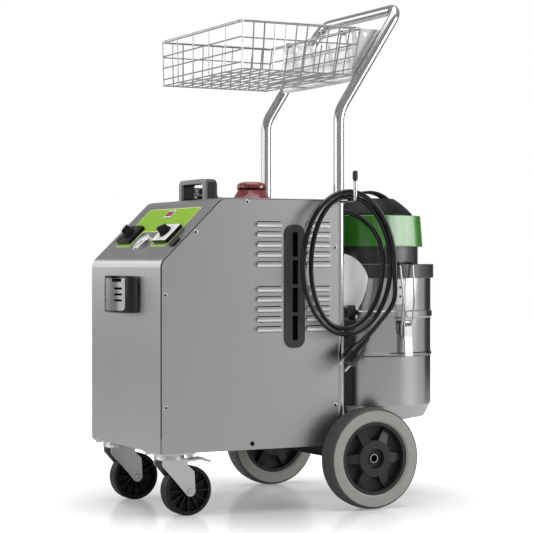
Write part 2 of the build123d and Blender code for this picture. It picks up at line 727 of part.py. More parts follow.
with BuildPart() as socket_flap:
    with BuildSketch(Plane.XY.offset(FLAP_LOW - FLAP_THICK)):
        with Locations((0, SOCKET_AXIS_Y)):
            Circle(SOCKET_BOW)
            Circle(SOCKET_BOW - FLAP_THICK, mode=Mode.SUBTRACT)
    extrude(amount=FLAP_TOP - FLAP_LOW + 2 * FLAP_THICK)
    with BuildSketch(Plane.XZ.offset(-FRONT_Y)):
        with Locations((0, (FLAP_LOW + FLAP_TOP) / 2)):
            RectangleRounded(FLAP_WIDTH, FLAP_TOP - FLAP_LOW, FLAP_CORNER)
    extrude(amount=2 * SOCKET_DEPTH, mode=Mode.INTERSECT)
    for side in (1, -1):
        with BuildSketch(Plane.YZ.offset(side * FLAP_LUG_ACROSS)):
            with Locations((FLAP_PIN_Y, FLAP_PIN_Z)):
                Circle(FLAP_LUG_RADIUS)
            lug_far = FLAP_LUG_ACROSS + FLAP_LUG_WIDTH
            lug_reach = FLAP_PIN_Y - SOCKET_AXIS_Y + sqrt(SOCKET_BOW**2 - lug_far**2)
            with Locations((FLAP_PIN_Y - lug_reach / 2 + FLAP_THICK / 4, FLAP_PIN_Z)):
                Rectangle(lug_reach - FLAP_THICK / 2, 2 * FLAP_LUG_RADIUS)
            with Locations((FLAP_PIN_Y, FLAP_PIN_Z)):
                Circle(FLAP_PIN_RADIUS + RUNNING, mode=Mode.SUBTRACT)
        extrude(amount=FLAP_LUG_WIDTH / 2, both=True)
        with BuildSketch(Plane.XZ.offset(-FRONT_Y)):
            with Locations((side * FLAP_RIB_ACROSS, (FLAP_LOW + FLAP_TOP) / 2)):
                with GridLocations(0, FLAP_RIB_PITCH, 1, 3):
                    Rectangle(FLAP_RIB_LENGTH, FLAP_RIB_HEIGHT)
        extrude(amount=2 * SOCKET_DEPTH, mode=Mode.SUBTRACT)
keep(socket_flap.part, "socket_flap")

COUPLING_Z = (SOCKET_Z + SOCKET_TOP) / 2
BOILER_Z = FLOOR_Z + BOILER_FOOT_HIGH + BOILER_RADIUS
PIPE_Y = back(BOILER_BACK) - BOILER_LENGTH / 2 + STEAM_PIPE_RADIUS + 3 * BOILER_DOME
with BuildPart() as steam_coupling:
    with BuildSketch(Plane.XZ.offset(COUPLING_OUT - FRONT_Y)):
        with Locations((0, COUPLING_Z)):
            Circle(COUPLING_RADIUS)
    extrude(amount=-(COUPLING_OUT + COUPLING_BORE_LENGTH))
    with BuildLine() as pipe_line:
        FilletPolyline(
            (0, FRONT_Y + COUPLING_BORE_LENGTH - SHEET, COUPLING_Z),
            (0, PIPE_Y, COUPLING_Z),
            (0, PIPE_Y, BOILER_Z + BOILER_RADIUS + FIT),
            radius=3 * STEAM_PIPE_RADIUS,
        )
    with BuildSketch(Plane(pipe_line.line @ 0, z_dir=pipe_line.line % 0)):
        Circle(STEAM_PIPE_RADIUS)
    sweep(path=pipe_line.line)
    with BuildSketch(Plane.XZ.offset(COUPLING_OUT - FRONT_Y)):
        with Locations((0, COUPLING_Z)):
            Circle(COUPLING_BORE)
    extrude(amount=-COUPLING_BORE_LENGTH, mode=Mode.SUBTRACT)
keep(steam_coupling.part, "steam_coupling")

# Loop handle on the top
LOOP_Y = back(LOOP_BACK)
with BuildPart() as top_handle:
    with BuildSketch(Plane.XZ.offset(-LOOP_Y)):
        with Locations((0, TOP_Z)):
            RectangleRounded(LOOP_WIDTH, 2 * LOOP_HEIGHT, LOOP_CORNER)
            RectangleRounded(
                LOOP_WIDTH - 2 * LOOP_LEG,
                2 * (LOOP_HEIGHT - LOOP_BAR),
                LOOP_CORNER / 2,
                mode=Mode.SUBTRACT,
            )
        with Locations((0, TOP_Z + LOOP_HEIGHT)):
            Rectangle(2 * LOOP_WIDTH, 2 * LOOP_HEIGHT, mode=Mode.INTERSECT)
    extrude(amount=-LOOP_DEPTH)
    rear_top = top_handle.edges().filter_by(Axis.X).group_by(Axis.Z)[-1].sort_by(Axis.Y)[-1]
    fillet(rear_top, radius=LOOP_ROUND)
    with BuildSketch(Plane.XY.offset(TOP_Z)):
        foot_x = (LOOP_WIDTH - LOOP_LEG) / 2
        with Locations((foot_x, LOOP_Y + LOOP_DEPTH), (-foot_x, LOOP_Y + LOOP_DEPTH)):
            Rectangle(LOOP_LEG, 2 * LOOP_FOOT_DEPTH)
    extrude(amount=LOOP_FOOT_HIGH)
keep(top_handle.part, "top_handle")

# Filler: collar and neck into the tank, and the cap that closes it
FILLER_Y = back(FILLER_BACK)
COLLAR_TOP = TOP_Z + COLLAR_HEIGHT
with BuildPart() as filler_neck:
    with BuildSketch(Plane.XZ.offset(-FILLER_Y)):
        with BuildLine():
            Polyline(
                (NECK_BORE, TANK_TOP),
                (NECK_RADIUS, TANK_TOP),
                (NECK_RADIUS, TOP_Z),
                (COLLAR_RADIUS, TOP_Z),
                (COLLAR_TOP_RADIUS, COLLAR_TOP),
                (NECK_BORE, COLLAR_TOP),
                close=True,
            )
        make_face()
    revolve(axis=Axis((0, FILLER_Y, 0), (0, 0, 1)))
keep(filler_neck.part, "filler_neck")

CAP_Z = COLLAR_TOP + FIT
with BuildPart() as filler_cap:
    with BuildSketch(Plane.XZ.offset(-FILLER_Y)):
        with BuildLine():
            Polyline(
                (0, CAP_Z - CAP_PLUG_LENGTH),
                (NECK_BORE - FIT, CAP_Z - CAP_PLUG_LENGTH),
                (NECK_BORE - FIT, CAP_Z),
                (CAP_RADIUS - CAP_DOME, CAP_Z),
                (CAP_RADIUS, CAP_Z + CAP_DOME),
                (CAP_RADIUS, CAP_Z + CAP_HEIGHT - CAP_DOME),
                (CAP_RADIUS - CAP_DOME, CAP_Z + CAP_HEIGHT),
                (CAP_RADIUS * 0.6, CAP_Z + CAP_HEIGHT + CAP_DOME),
                (0, CAP_Z + CAP_HEIGHT + CAP_DOME),
                close=True,
            )
        make_face()
    revolve(axis=Axis((0, FILLER_Y, 0), (0, 0, 1)))
keep(filler_cap.part, "filler_cap")

# Posts and the bent push handle on top of them
with BuildPart() as frame_posts:
    with BuildSketch(Plane.XY.offset(POST_BOTTOM)):
        with Locations((TUBE_ACROSS, TUBE_Y), (-TUBE_ACROSS, TUBE_Y)):
            Circle(TUBE_RADIUS)
            Circle(TUBE_RADIUS - TUBE_WALL, mode=Mode.SUBTRACT)
    extrude(amount=POST_TOP - POST_BOTTOM)
keep(frame_posts.part, "frame_posts")

HANDLE_Y = back(HANDLE_BACK)
with BuildPart() as push_handle:
    with BuildLine() as hoop:
        FilletPolyline(
            (TUBE_ACROSS, TUBE_Y, POST_TOP),
            (TUBE_ACROSS, TUBE_Y, HANDLE_BEND),
            (TUBE_ACROSS, HANDLE_Y, HANDLE_TOP),
            (-TUBE_ACROSS, HANDLE_Y, HANDLE_TOP),
            (-TUBE_ACROSS, TUBE_Y, HANDLE_BEND),
            (-TUBE_ACROSS, TUBE_Y, POST_TOP),
            radius=(HANDLE_BEND_RADIUS, HANDLE_CORNER_RADIUS, HANDLE_CORNER_RADIUS, HANDLE_BEND_RADIUS),
        )
    with BuildSketch(Plane.XY.offset(POST_TOP)):
        with Locations((TUBE_ACROSS, TUBE_Y)):
            Circle(TUBE_RADIUS)
            Circle(TUBE_RADIUS - TUBE_WALL, mode=Mode.SUBTRACT)
    sweep(path=hoop.line)
keep(push_handle.part, "push_handle")

# Bracket plate between the slanted tubes: back plate, two cheeks, hooks for the rim, seats for the floor
LEAN = (HANDLE_Y - TUBE_Y) / (HANDLE_TOP - HANDLE_BEND)
CHEEK_OUT = TUBE_ACROSS - TUBE_RADIUS - FIT
BRACKET_Y = back(BRACKET_BACK)


def lean_y(height):
    """Y of the slanted tubes' axis at this height."""
    return TUBE_Y + (height - HANDLE_BEND) * LEAN


with BuildPart() as basket_bracket:
    with BuildSketch(Plane.XZ.offset(-BRACKET_Y)):
        with Locations((0, (BRACKET_LOW + BRACKET_HIGH) / 2)):
            Rectangle(2 * CHEEK_OUT, BRACKET_HIGH - BRACKET_LOW)
        tab_top = BASKET_RIM + RIM_WIRE / 2 + FIT + BRACKET_SHEET
        with Locations((HOOK_TAB_ACROSS, BRACKET_HIGH), (-HOOK_TAB_ACROSS, BRACKET_HIGH)):
            Rectangle(HOOK_TAB_WIDTH, 2 * (tab_top - BRACKET_HIGH))
    extrude(amount=-BRACKET_SHEET)
    with BuildSketch(Plane.XY.offset(tab_top - BRACKET_SHEET)):
        tab_length = BRACKET_Y - back(BASKET_BACK) + RIM_WIRE
        with Locations(
            (HOOK_TAB_ACROSS, BRACKET_Y - tab_length / 2),
            (-HOOK_TAB_ACROSS, BRACKET_Y - tab_length / 2),
        ):
            Rectangle(HOOK_TAB_WIDTH, tab_length)
    extrude(amount=BRACKET_SHEET)
    with BuildSketch(Plane.XY.offset(BASKET_FLOOR - NET_WIRE / 2 - FIT - BRACKET_SHEET)):
        seat_length = BRACKET_Y - back(BASKET_FLOOR_BACK) + 4 * NET_WIRE
        with Locations(
            (SEAT_TAB_ACROSS, BRACKET_Y - seat_length / 2),
            (-SEAT_TAB_ACROSS, BRACKET_Y - seat_length / 2),
        ):
            Rectangle(HOOK_TAB_WIDTH, seat_length)
    extrude(amount=BRACKET_SHEET)
    for side in (1, -1):
        with BuildSketch(Plane.YZ.offset(side * CHEEK_OUT)):
            Polygon(
                (BRACKET_Y, BRACKET_LOW),
                (lean_y(BRACKET_LOW), BRACKET_LOW),
                (lean_y(CHEEK_HIGH), CHEEK_HIGH),
                (BRACKET_Y, CHEEK_HIGH),
                align=None,
            )
            hole_z = CHEEK_HIGH - 2 * CHEEK_HOLE_RADIUS
            with Locations((BRACKET_Y + 6 * CHEEK_HOLE_RADIUS, hole_z)):
                Circle(CHEEK_HOLE_RADIUS, mode=Mode.SUBTRACT)
            with Locations((BRACKET_Y + 2.5 * CHEEK_HOLE_RADIUS, hole_z)):
                SlotOverall(3 * CHEEK_HOLE_RADIUS, CHEEK_HOLE_RADIUS, rotation=90, mode=Mode.SUBTRACT)
        extrude(amount=-side * BRACKET_SHEET)
keep(basket_bracket.part, "basket_bracket")

# Wire basket: rim, four sides and floor, each side a flat net
BASKET_Y0 = back(BASKET_FRONT)
BASKET_Y1 = back(BASKET_BACK)
BASKET_FLOOR_Y1 = back(BASKET_FLOOR_BACK)
NET_TOP = BASKET_RIM - RIM_WIRE / 2
NET_LOW = BASKET_FLOOR + NET_WIRE / 2 + 2 * FIT
with BuildPart() as basket_rim:
    rim_plane = Plane((0, (BASKET_Y0 + BASKET_Y1) / 2, BASKET_RIM))
    with BuildSketch(rim_plane, mode=Mode.PRIVATE) as rim_shape:
        RectangleRounded(BASKET_WIDTH, BASKET_Y1 - BASKET_Y0, RIM_CORNER)
    rim_line = rim_shape.sketch.face().outer_wire()
    with BuildSketch(Plane(rim_line @ 0, z_dir=rim_line % 0)):
        Circle(RIM_WIRE / 2)
    sweep(path=rim_line)
keep(basket_rim.part, "basket_rim")


def net(plane, corners, inset_corners, across_wires, along_wires, span):
    """Flat net: a framed outline whose inside is open between crossing wires."""
    with BuildPart() as sheet:
        with BuildSketch(plane) as outline:
            Polygon(*corners, align=None)
            with BuildSketch(plane, mode=Mode.SUBTRACT):
                Polygon(*inset_corners, align=None)
                with Locations(*across_wires):
                    Rectangle(NET_WIRE, span, mode=Mode.SUBTRACT)
                if along_wires:
                    with Locations(*along_wires):
                        Rectangle(span, NET_WIRE, mode=Mode.SUBTRACT)
        extrude(amount=NET_WIRE / 2, both=True)
    return sheet.part


def trapezoid(low_half, high_half, height, inset):
    """Corners of an upright wall, centred across and standing on zero, set in by inset."""
    return [
        (-low_half + inset, inset),
        (low_half - inset, inset),
        (high_half - inset, height - inset),
        (-high_half + inset, height - inset),
    ]


def cross_wall(y_low, y_high):
    """Front or rear side of the basket, across the width, leaning from y_low to y_high."""
    rise = NET_TOP - NET_LOW
    height = hypot(rise, y_high - y_low)
    plane = Plane(origin=(0, y_low, NET_LOW), x_dir=(1, 0, 0), z_dir=(0, -rise, y_high - y_low))
    low_half = BASKET_FLOOR_WIDTH / 2 - 1.5 * NET_WIRE
    high_half = BASKET_WIDTH / 2 - 1.5 * NET_WIRE
    pitch = 2 * low_half / FRONT_GAPS
    across = [(-low_half + pitch * index, height / 2) for index in range(1, FRONT_GAPS)]
    along = [(0, height * (1 - level)) for level in FRONT_LEVELS]
    return net(
        plane,
        trapezoid(low_half, high_half, height, 0),
        trapezoid(low_half, high_half, height, NET_WIRE),
        across,
        along,
        BASKET_WIDTH,
    )


def side_wall(side):
    """Left or right side of the basket, leaning out from the floor to the rim."""
    rise = NET_TOP - NET_LOW
    lean = (BASKET_WIDTH - BASKET_FLOOR_WIDTH) / 2
    height = hypot(rise, lean)
    plane = Plane(
        origin=(side * BASKET_FLOOR_WIDTH / 2, 0, NET_LOW),
        x_dir=(0, 1, 0),
        z_dir=(rise, 0, -side * lean),
    )
    corners = [(BASKET_Y0, 0), (BASKET_FLOOR_Y1, 0), (BASKET_Y1, height), (BASKET_Y0, height)]
    inset_corners = [
        (BASKET_Y0 + NET_WIRE, NET_WIRE),
        (BASKET_FLOOR_Y1 - NET_WIRE, NET_WIRE),
        (BASKET_Y1 - NET_WIRE, height - NET_WIRE),
        (BASKET_Y0 + NET_WIRE, height - NET_WIRE),
    ]
    pitch = (BASKET_FLOOR_Y1 - BASKET_Y0) / SIDE_GAPS
    across = [(BASKET_Y0 + pitch * index, height / 2) for index in range(1, SIDE_GAPS)]
    along = [((BASKET_Y0 + BASKET_Y1) / 2, height * (1 - level)) for level in SIDE_LEVELS]
    return net(plane, corners, inset_corners, across, along, BASKET_BACK - BASKET_FRONT)


def floor_net():
    """Floor of the basket."""
    half = BASKET_FLOOR_WIDTH / 2
    across_pitch = (BASKET_FLOOR_WIDTH - 3 * NET_WIRE) / FRONT_GAPS
    along_pitch = (BASKET_FLOOR_Y1 - BASKET_Y0) / SIDE_GAPS
    middle = (BASKET_Y0 + BASKET_FLOOR_Y1) / 2
    corners = [(-half, BASKET_Y0), (half, BASKET_Y0), (half, BASKET_FLOOR_Y1), (-half, BASKET_FLOOR_Y1)]
    inset_corners = [
        (-half + NET_WIRE, BASKET_Y0 + NET_WIRE),
        (half - NET_WIRE, BASKET_Y0 + NET_WIRE),
        (half - NET_WIRE, BASKET_FLOOR_Y1 - NET_WIRE),
        (-half + NET_WIRE, BASKET_FLOOR_Y1 - NET_WIRE),
    ]
    across = [(across_pitch * (index - FRONT_GAPS / 2), middle) for index in range(1, FRONT_GAPS)]
    along = [(0, BASKET_Y0 + along_pitch * index) for index in range(1, SIDE_GAPS)]
    return net(Plane.XY.offset(BASKET_FLOOR), corners, inset_corners, across, along, BASKET_WIDTH)


with BuildPart() as basket_nets:
    add(cross_wall(BASKET_Y0, BASKET_Y0))
    add(cross_wall(BASKET_FLOOR_Y1, BASKET_Y1))
    add(side_wall(1))
    add(side_wall(-1))
    add(floor_net())
keep(basket_nets.part, "basket_nets")

# Hook rod out of the right post, with a capped end
with BuildPart() as cable_hook:
    with BuildLine() as hook_line:
        FilletPolyline(
            (TUBE_ACROSS + TUBE_RADIUS, TUBE_Y, HOOK_HEIGHT),
            (HOOK_OUT, TUBE_Y, HOOK_HEIGHT),
            (HOOK_OUT, TUBE_Y, HOOK_TOP - HOOK_TIP_LENGTH),
            radius=HOOK_BEND,
        )
    with BuildSketch(Plane(hook_line.line @ 0, z_dir=hook_line.line % 0)):
        Circle(HOOK_ROD_RADIUS)
    sweep(path=hook_line.line)
    with BuildSketch(Plane.XY.offset(HOOK_TOP - HOOK_TIP_LENGTH)):
        with Locations((HOOK_OUT, TUBE_Y)):
            Circle(HOOK_TIP_RADIUS)
    extrude(amount=HOOK_TIP_LENGTH)
    fillet(cable_hook.edges().sort_by(Axis.Z)[-1], HOOK_TIP_RADIUS * 0.8)
keep(cable_hook.part, "cable_hook")

# Gland in the rear panel, tapering to the cable
GLAND_END_Y = REAR_Y + GLAND_LENGTH
with BuildPart() as cable_gland:
    with BuildSketch(Plane.XZ.offset(-REAR_Y)):
        with Locations((GLAND_ACROSS, GLAND_HEIGHT)):
            RegularPolygon(GLAND_RADIUS, 6)
    extrude(amount=-GLAND_LENGTH / 3)
    with BuildSketch(Plane.XZ.offset(-REAR_Y - GLAND_LENGTH / 3)):
        with Locations((GLAND_ACROSS, GLAND_HEIGHT)):
            Circle(GLAND_RADIUS - SHEET)
    with BuildSketch(Plane.XZ.offset(-GLAND_END_Y)):
        with Locations((GLAND_ACROSS, GLAND_HEIGHT)):
            Circle(GLAND_END_RADIUS)
    loft()
    with BuildSketch(Plane.XZ.offset(-REAR_Y)):
        with Locations((GLAND_ACROSS, GLAND_HEIGHT)):
            Circle(GLAND_RADIUS - SHEET - FIT)
    extrude(amount=4 * SHEET)
keep(cable_gland.part, "cable_gland")

# Cable: out of the gland, round behind the post, then quarter turns of the coil down, forward,
# up and over the hook, and last down to the plug
CABLE_RADIUS = CABLE_DIAMETER / 2
COIL_TOP = HOOK_HEIGHT + HOOK_ROD_RADIUS + CABLE_RADIUS + FIT
PLUG_ACROSS = COIL_START_ACROSS + (len(COIL_BACK_REACH) - 1) * COIL_PITCH
PLUG_START = Vector(PLUG_ACROSS, back(PLUG_BACK), PLUG_HEIGHT)
PLUG_DIRECTION = Vector(0, -sin(radians(PLUG_TILT)), -cos(radians(PLUG_TILT)))


def coil_stations():
    """Points and directions of the coil at each quarter turn, ending short of the plug."""
    stations = []
    for turn, back_reach in enumerate(COIL_BACK_REACH):
        x = COIL_START_ACROSS + turn * COIL_PITCH
        stations.append((Vector(x, TUBE_Y + back_reach, COIL_SIDE_HEIGHT), Vector(0, 0, -1)))
        if turn < len(COIL_FRONT_REACH):
            step = COIL_PITCH / 4
            bottom = Vector(x + step, TUBE_Y + COIL_BOTTOM_SHIFT, COIL_BOTTOM[turn])
            front = Vector(x + 2 * step, TUBE_Y - COIL_FRONT_REACH[turn], COIL_SIDE_HEIGHT)
            top = Vector(x + COIL_STACK_ACROSS[turn], TUBE_Y, COIL_TOP + COIL_STACK[turn])
            stations.append((bottom, Vector(0, -1, 0)))
            stations.append((front, Vector(0, 0, 1)))
            stations.append((top, Vector(0, 1, 0)))
    stations.append((PLUG_START - PLUG_DIRECTION * CABLE_DIAMETER, PLUG_DIRECTION))
    return stations


def biarc(start, start_way, end, end_way):
    """Two arcs that leave start along start_way and reach end along end_way."""
    chord = end - start
    ways = start_way + end_way
    spread = 2 * (1 - start_way.dot(end_way))
    reach = chord.dot(ways)
    step = (sqrt(reach**2 + spread * chord.dot(chord)) - reach) / spread
    middle = (start + start_way * step + end - end_way * step) * 0.5
    first = TangentArc(start, middle, tangent=start_way)
    TangentArc(middle, end, tangent=first % 1)


def least_gap(line, samples=420):
    """Least clear distance between stretches of a cable's line that lie a turn or so apart."""
    points = [line @ (index / samples) for index in range(samples + 1)]
    apart = int(samples * 6 * CABLE_DIAMETER / line.length)
    gaps = [
        (points[first] - points[second]).length - CABLE_DIAMETER
        for first in range(len(points))
        for second in range(first + apart, len(points))
    ]
    return min(gaps)


def report_cable(name, wire, tube):
    """Print a cable's length, tightest bend and how true its tube is to its section."""
    bends = [edge.radius for edge in wire.edges().filter_by(GeomType.CIRCLE)]
    swept = pi * CABLE_RADIUS**2 * wire.length
    print(name, "length:", round(wire.length, 1), "tightest bend:", round(min(bends), 1))
    print(name, "volume over section times length:", round(tube.volume / swept, 4))


STATIONS = coil_stations()
COIL_START, COIL_WAY = STATIONS[0]
LEAD_END = COIL_START - COIL_WAY * CABLE_DIAMETER
with BuildPart() as mains_cable_lead:
    with BuildLine() as lead_line:
        biarc(Vector(GLAND_ACROSS, GLAND_END_Y, GLAND_HEIGHT), Vector(0, 1, 0), LEAD_END, COIL_WAY)
    lead_wire = lead_line.wire()
    with BuildSketch(Plane(lead_wire @ 0, z_dir=lead_wire % 0)):
        Circle(CABLE_RADIUS)
    sweep(path=lead_wire)
report_cable("lead", lead_wire, mains_cable_lead.part)
keep(mains_cable_lead.part, "mains_cable_lead")

with BuildPart() as mains_cable_coil:
    with BuildLine() as coil_line:
        Line(LEAD_END, COIL_START)
        for (start, start_way), (end, end_way) in zip(STATIONS, STATIONS[1:]):
            biarc(start, start_way, end, end_way)
        Line(STATIONS[-1][0], PLUG_START)
    coil_wire = coil_line.wire()
    with BuildSketch(Plane(coil_wire @ 0, z_dir=coil_wire % 0)):
        Circle(CABLE_RADIUS)
    sweep(path=coil_wire)
report_cable("coil", coil_wire, mains_cable_coil.part)
print("coil least gap to itself:", round(least_gap(coil_wire), 2))
keep(mains_cable_coil.part, "mains_cable_coil")

# Plug with its boot at the end of the coil
PLUG_PLANE = Plane(origin=PLUG_START, x_dir=(1, 0, 0), z_dir=PLUG_DIRECTION)
with BuildPart() as mains_plug:
    with BuildSketch(PLUG_PLANE):
        Circle(CABLE_RADIUS + SHEET)
    with BuildSketch(PLUG_PLANE.offset(BOOT_LENGTH)):
        Circle(BOOT_RADIUS)
    loft()
    with BuildSketch(PLUG_PLANE.offset(BOOT_LENGTH)):
        Circle(PLUG_RADIUS * 0.8)
    with BuildSketch(PLUG_PLANE.offset(BOOT_LENGTH + PLUG_LENGTH / 2)):
        Circle(PLUG_RADIUS)
    loft()
    with BuildSketch(PLUG_PLANE.offset(BOOT_LENGTH + PLUG_LENGTH / 2)):
        Circle(PLUG_RADIUS)
    extrude(amount=PLUG_LENGTH / 2)
    with BuildSketch(PLUG_PLANE.offset(BOOT_LENGTH + PLUG_LENGTH)):
        with GridLocations(0, PLUG_PIN_PITCH, 1, 2):
            Circle(PLUG_PIN_RADIUS)
    extrude(amount=PLUG_PIN_LENGTH)
keep(mains_plug.part, "mains_plug")

# Rear axle, hubs and tyres
with BuildPart() as rear_axle:
    axle_half = WHEEL_ACROSS + HUB_WIDTH / 2 - HUB_RECESS + AXLE_PROUD
    with Locations(Location((0, AXLE_Y, AXLE_Z), (0, 90, 0))):
        Cylinder(AXLE_RADIUS, 2 * axle_half)
        chamfer(rear_axle.edges().filter_by(GeomType.CIRCLE), length=1)
        Cylinder(AXLE_BORE, 2 * axle_half, mode=Mode.SUBTRACT)
keep(rear_axle.part, "rear_axle")


def wheel_plane(side, offset_out):
    """Plane across a rear wheel, this far out from the wheel's middle, facing out."""
    return Plane(
        origin=(side * (WHEEL_ACROSS + offset_out), AXLE_Y, AXLE_Z),
        x_dir=(0, 1, 0),
        z_dir=(side, 0, 0),
    )


def hub_spoke(side, angle):
    """Wedge from the boss to the rim: narrower and lower towards the rim."""
    root_radius = HUB_BOSS_RADIUS - HUB_RIM / 2
    tip_radius = HUB_RADIUS - HUB_RIM / 2
    wheel = wheel_plane(side, 0)
    way = wheel.x_dir * cos(radians(angle)) + wheel.y_dir * sin(radians(angle))
    with BuildPart() as spoke:
        for radius, width, depth in (
            (root_radius, HUB_SPOKE_ROOT, HUB_SPOKE_DEPTH),
            (tip_radius, HUB_SPOKE_TIP, HUB_SPOKE_END_DEPTH),
        ):
            origin = wheel.origin + way * radius
            with BuildSketch(Plane(origin=origin, x_dir=wheel.z_dir, z_dir=way)):
                Rectangle(depth, width)
        loft()
    return spoke.part


def rear_hub(side):
    """Black hub: rim, web, spokes and boss, with a recess round the axle's end."""
    with BuildPart() as hub:
        with BuildSketch(wheel_plane(side, 0)):
            Circle(HUB_RADIUS)
            Circle(HUB_RADIUS - HUB_RIM, mode=Mode.SUBTRACT)
        extrude(amount=HUB_RIM_WIDTH / 2, both=True)
        with BuildSketch(wheel_plane(side, 0)):
            Circle(HUB_RADIUS - HUB_RIM / 2)
        extrude(amount=HUB_WEB / 2, both=True)
        for spoke in range(HUB_SPOKES):
            add(hub_spoke(side, spoke * 360 / HUB_SPOKES))
        with BuildSketch(wheel_plane(side, 0)):
            Circle(HUB_BOSS_RADIUS)
        extrude(amount=HUB_WIDTH / 2, both=True)
        with BuildSketch(wheel_plane(side, HUB_WIDTH / 2)):
            Circle(HUB_RECESS_RADIUS)
        extrude(amount=-HUB_RECESS, mode=Mode.SUBTRACT)
        with BuildSketch(wheel_plane(side, 0)):
            Circle(AXLE_RADIUS + RUNNING)
        extrude(amount=HUB_WIDTH, both=True, mode=Mode.SUBTRACT)
    return hub.part


def rear_tyre(side):
    """Rubber tyre with a low crown and rounded shoulders."""
    half = WHEEL_WIDTH / 2
    shoulder = WHEEL_RADIUS - WHEEL_FACE_RADIUS
    middle = side * WHEEL_ACROSS
    with BuildPart() as tyre:
        with BuildSketch(Plane((0, AXLE_Y, AXLE_Z), x_dir=(1, 0, 0), z_dir=(0, -1, 0))):
            with BuildLine():
                crown = ThreePointArc(
                    (middle - half + shoulder, WHEEL_RADIUS - 1.5),
                    (middle, WHEEL_RADIUS),
                    (middle + half - shoulder, WHEEL_RADIUS - 1.5),
                )
                near = RadiusArc(crown @ 1, (middle + half, WHEEL_FACE_RADIUS - 1.5), shoulder)
                far = RadiusArc((middle - half, WHEEL_FACE_RADIUS - 1.5), crown @ 0, shoulder)
                Polyline(
                    near @ 1,
                    (middle + half, HUB_RADIUS + 4),
                    (middle + half - 3, HUB_RADIUS),
                    (middle - half + 3, HUB_RADIUS),
                    (middle - half, HUB_RADIUS + 4),
                    far @ 0,
                )
            make_face()
        revolve(axis=Axis((0, AXLE_Y, AXLE_Z), (1, 0, 0)))
    return tyre.part


for side, name in ((-1, "left"), (1, "right")):
    keep(rear_hub(side), f"rear_hub_{name}")
    keep(rear_tyre(side), f"rear_tyre_{name}")

# Castors under the front corners
CASTOR_Y = back(CASTOR_BACK)
CASTOR_AXLE_Y = CASTOR_Y + CASTOR_TRAIL
PLATE_UNDER = CASTOR_HEIGHT - CASTOR_PLATE_THICK
FORK_TOP = PLATE_UNDER - FIT
FORK_UNDER = FORK_TOP - FORK_HEAD_HIGH
PEDAL_PIN_Z = FORK_UNDER - FORK_SHEET - PEDAL_BARREL
with BuildPart() as castor_plates:
    with BuildSketch(Plane.XY.offset(PLATE_UNDER)):
        with Locations((CASTOR_ACROSS, CASTOR_Y), (-CASTOR_ACROSS, CASTOR_Y)):
            RectangleRounded(CASTOR_PLATE_WIDTH, CASTOR_PLATE_LENGTH, CASTOR_BOLT_INSET / 2)
    extrude(amount=CASTOR_PLATE_THICK)
    with BuildSketch(Plane.XY.offset(PLATE_UNDER)):
        with Locations((CASTOR_ACROSS, CASTOR_Y), (-CASTOR_ACROSS, CASTOR_Y)):
            with GridLocations(
                CASTOR_PLATE_WIDTH - 2 * CASTOR_BOLT_INSET,
                CASTOR_PLATE_LENGTH - 2 * CASTOR_BOLT_INSET,
                2,
                2,
            ):
                RegularPolygon(1.6 * CASTOR_BOLT_RADIUS, 6)
    extrude(amount=-CASTOR_BOLT_HIGH)
    with BuildSketch(Plane.XY.offset(PLATE_UNDER)):
        with Locations((CASTOR_ACROSS, CASTOR_Y), (-CASTOR_ACROSS, CASTOR_Y)):
            Circle(KINGPIN_RADIUS)
    extrude(amount=-FORK_HEAD_HIGH)
keep(castor_plates.part, "castor_plates")


def castor_fork(side):
    """Swivel head with two slanted legs, the wheel's axle and the pedal's pin."""
    x = side * CASTOR_ACROSS
    leg_out = FORK_INSIDE / 2 + FORK_SHEET
    eye = (CASTOR_AXLE_Y, CASTOR_RADIUS)
    with BuildPart() as fork:
        with BuildSketch(Plane.XY.offset(FORK_UNDER)):
            with Locations((x, CASTOR_Y)):
                Circle(FORK_HEAD_RADIUS)
        extrude(amount=FORK_HEAD_HIGH, taper=4)
        for leg in (1, -1):
            with BuildSketch(Plane.YZ.offset(x + leg * leg_out)):
                with Locations(eye):
                    Circle(FORK_EYE_RADIUS)
                Polygon(
                    (CASTOR_Y - FORK_HEAD_RADIUS * 0.75, FORK_UNDER + 2),
                    (CASTOR_Y - FORK_HEAD_RADIUS * 0.75, FORK_UNDER - FORK_SKIRT),
                    (CASTOR_AXLE_Y - FORK_EYE_RADIUS * 0.87, CASTOR_RADIUS - FORK_EYE_RADIUS * 0.48),
                    (CASTOR_AXLE_Y + FORK_EYE_RADIUS, CASTOR_RADIUS),
                    (CASTOR_AXLE_Y + FORK_EYE_RADIUS - 2, FORK_UNDER - FORK_WAIST),
                    (CASTOR_Y + FORK_HEAD_RADIUS, FORK_UNDER - FORK_SKIRT),
                    (CASTOR_Y + FORK_HEAD_RADIUS, FORK_UNDER + 2),
                    align=None,
                )
            extrude(amount=-leg * FORK_SHEET)
        with BuildSketch(Plane.XY.offset(FORK_UNDER - 2)):
            with Locations((x, CASTOR_Y)):
                Rectangle(2 * leg_out, 1.5 * FORK_HEAD_RADIUS)
        extrude(amount=FORK_SHEET)
        with BuildSketch(Plane.XY.offset(FORK_UNDER - 2 * FORK_SHEET)):
            with Locations((x, CASTOR_Y)):
                Circle(KINGPIN_RADIUS + RUNNING)
        extrude(amount=FORK_HEAD_HIGH + 4 * FORK_SHEET, mode=Mode.SUBTRACT)
        with Locations(Location((x, CASTOR_AXLE_Y, CASTOR_RADIUS), (0, 90, 0))):
            Cylinder(FORK_AXLE_RADIUS, 2 * leg_out + 4)
        with Locations(Location((x, CASTOR_Y + PEDAL_PIN_BACK, PEDAL_PIN_Z), (0, 90, 0))):
            Cylinder(PEDAL_PIN_RADIUS, 2 * leg_out)
    return fork.part


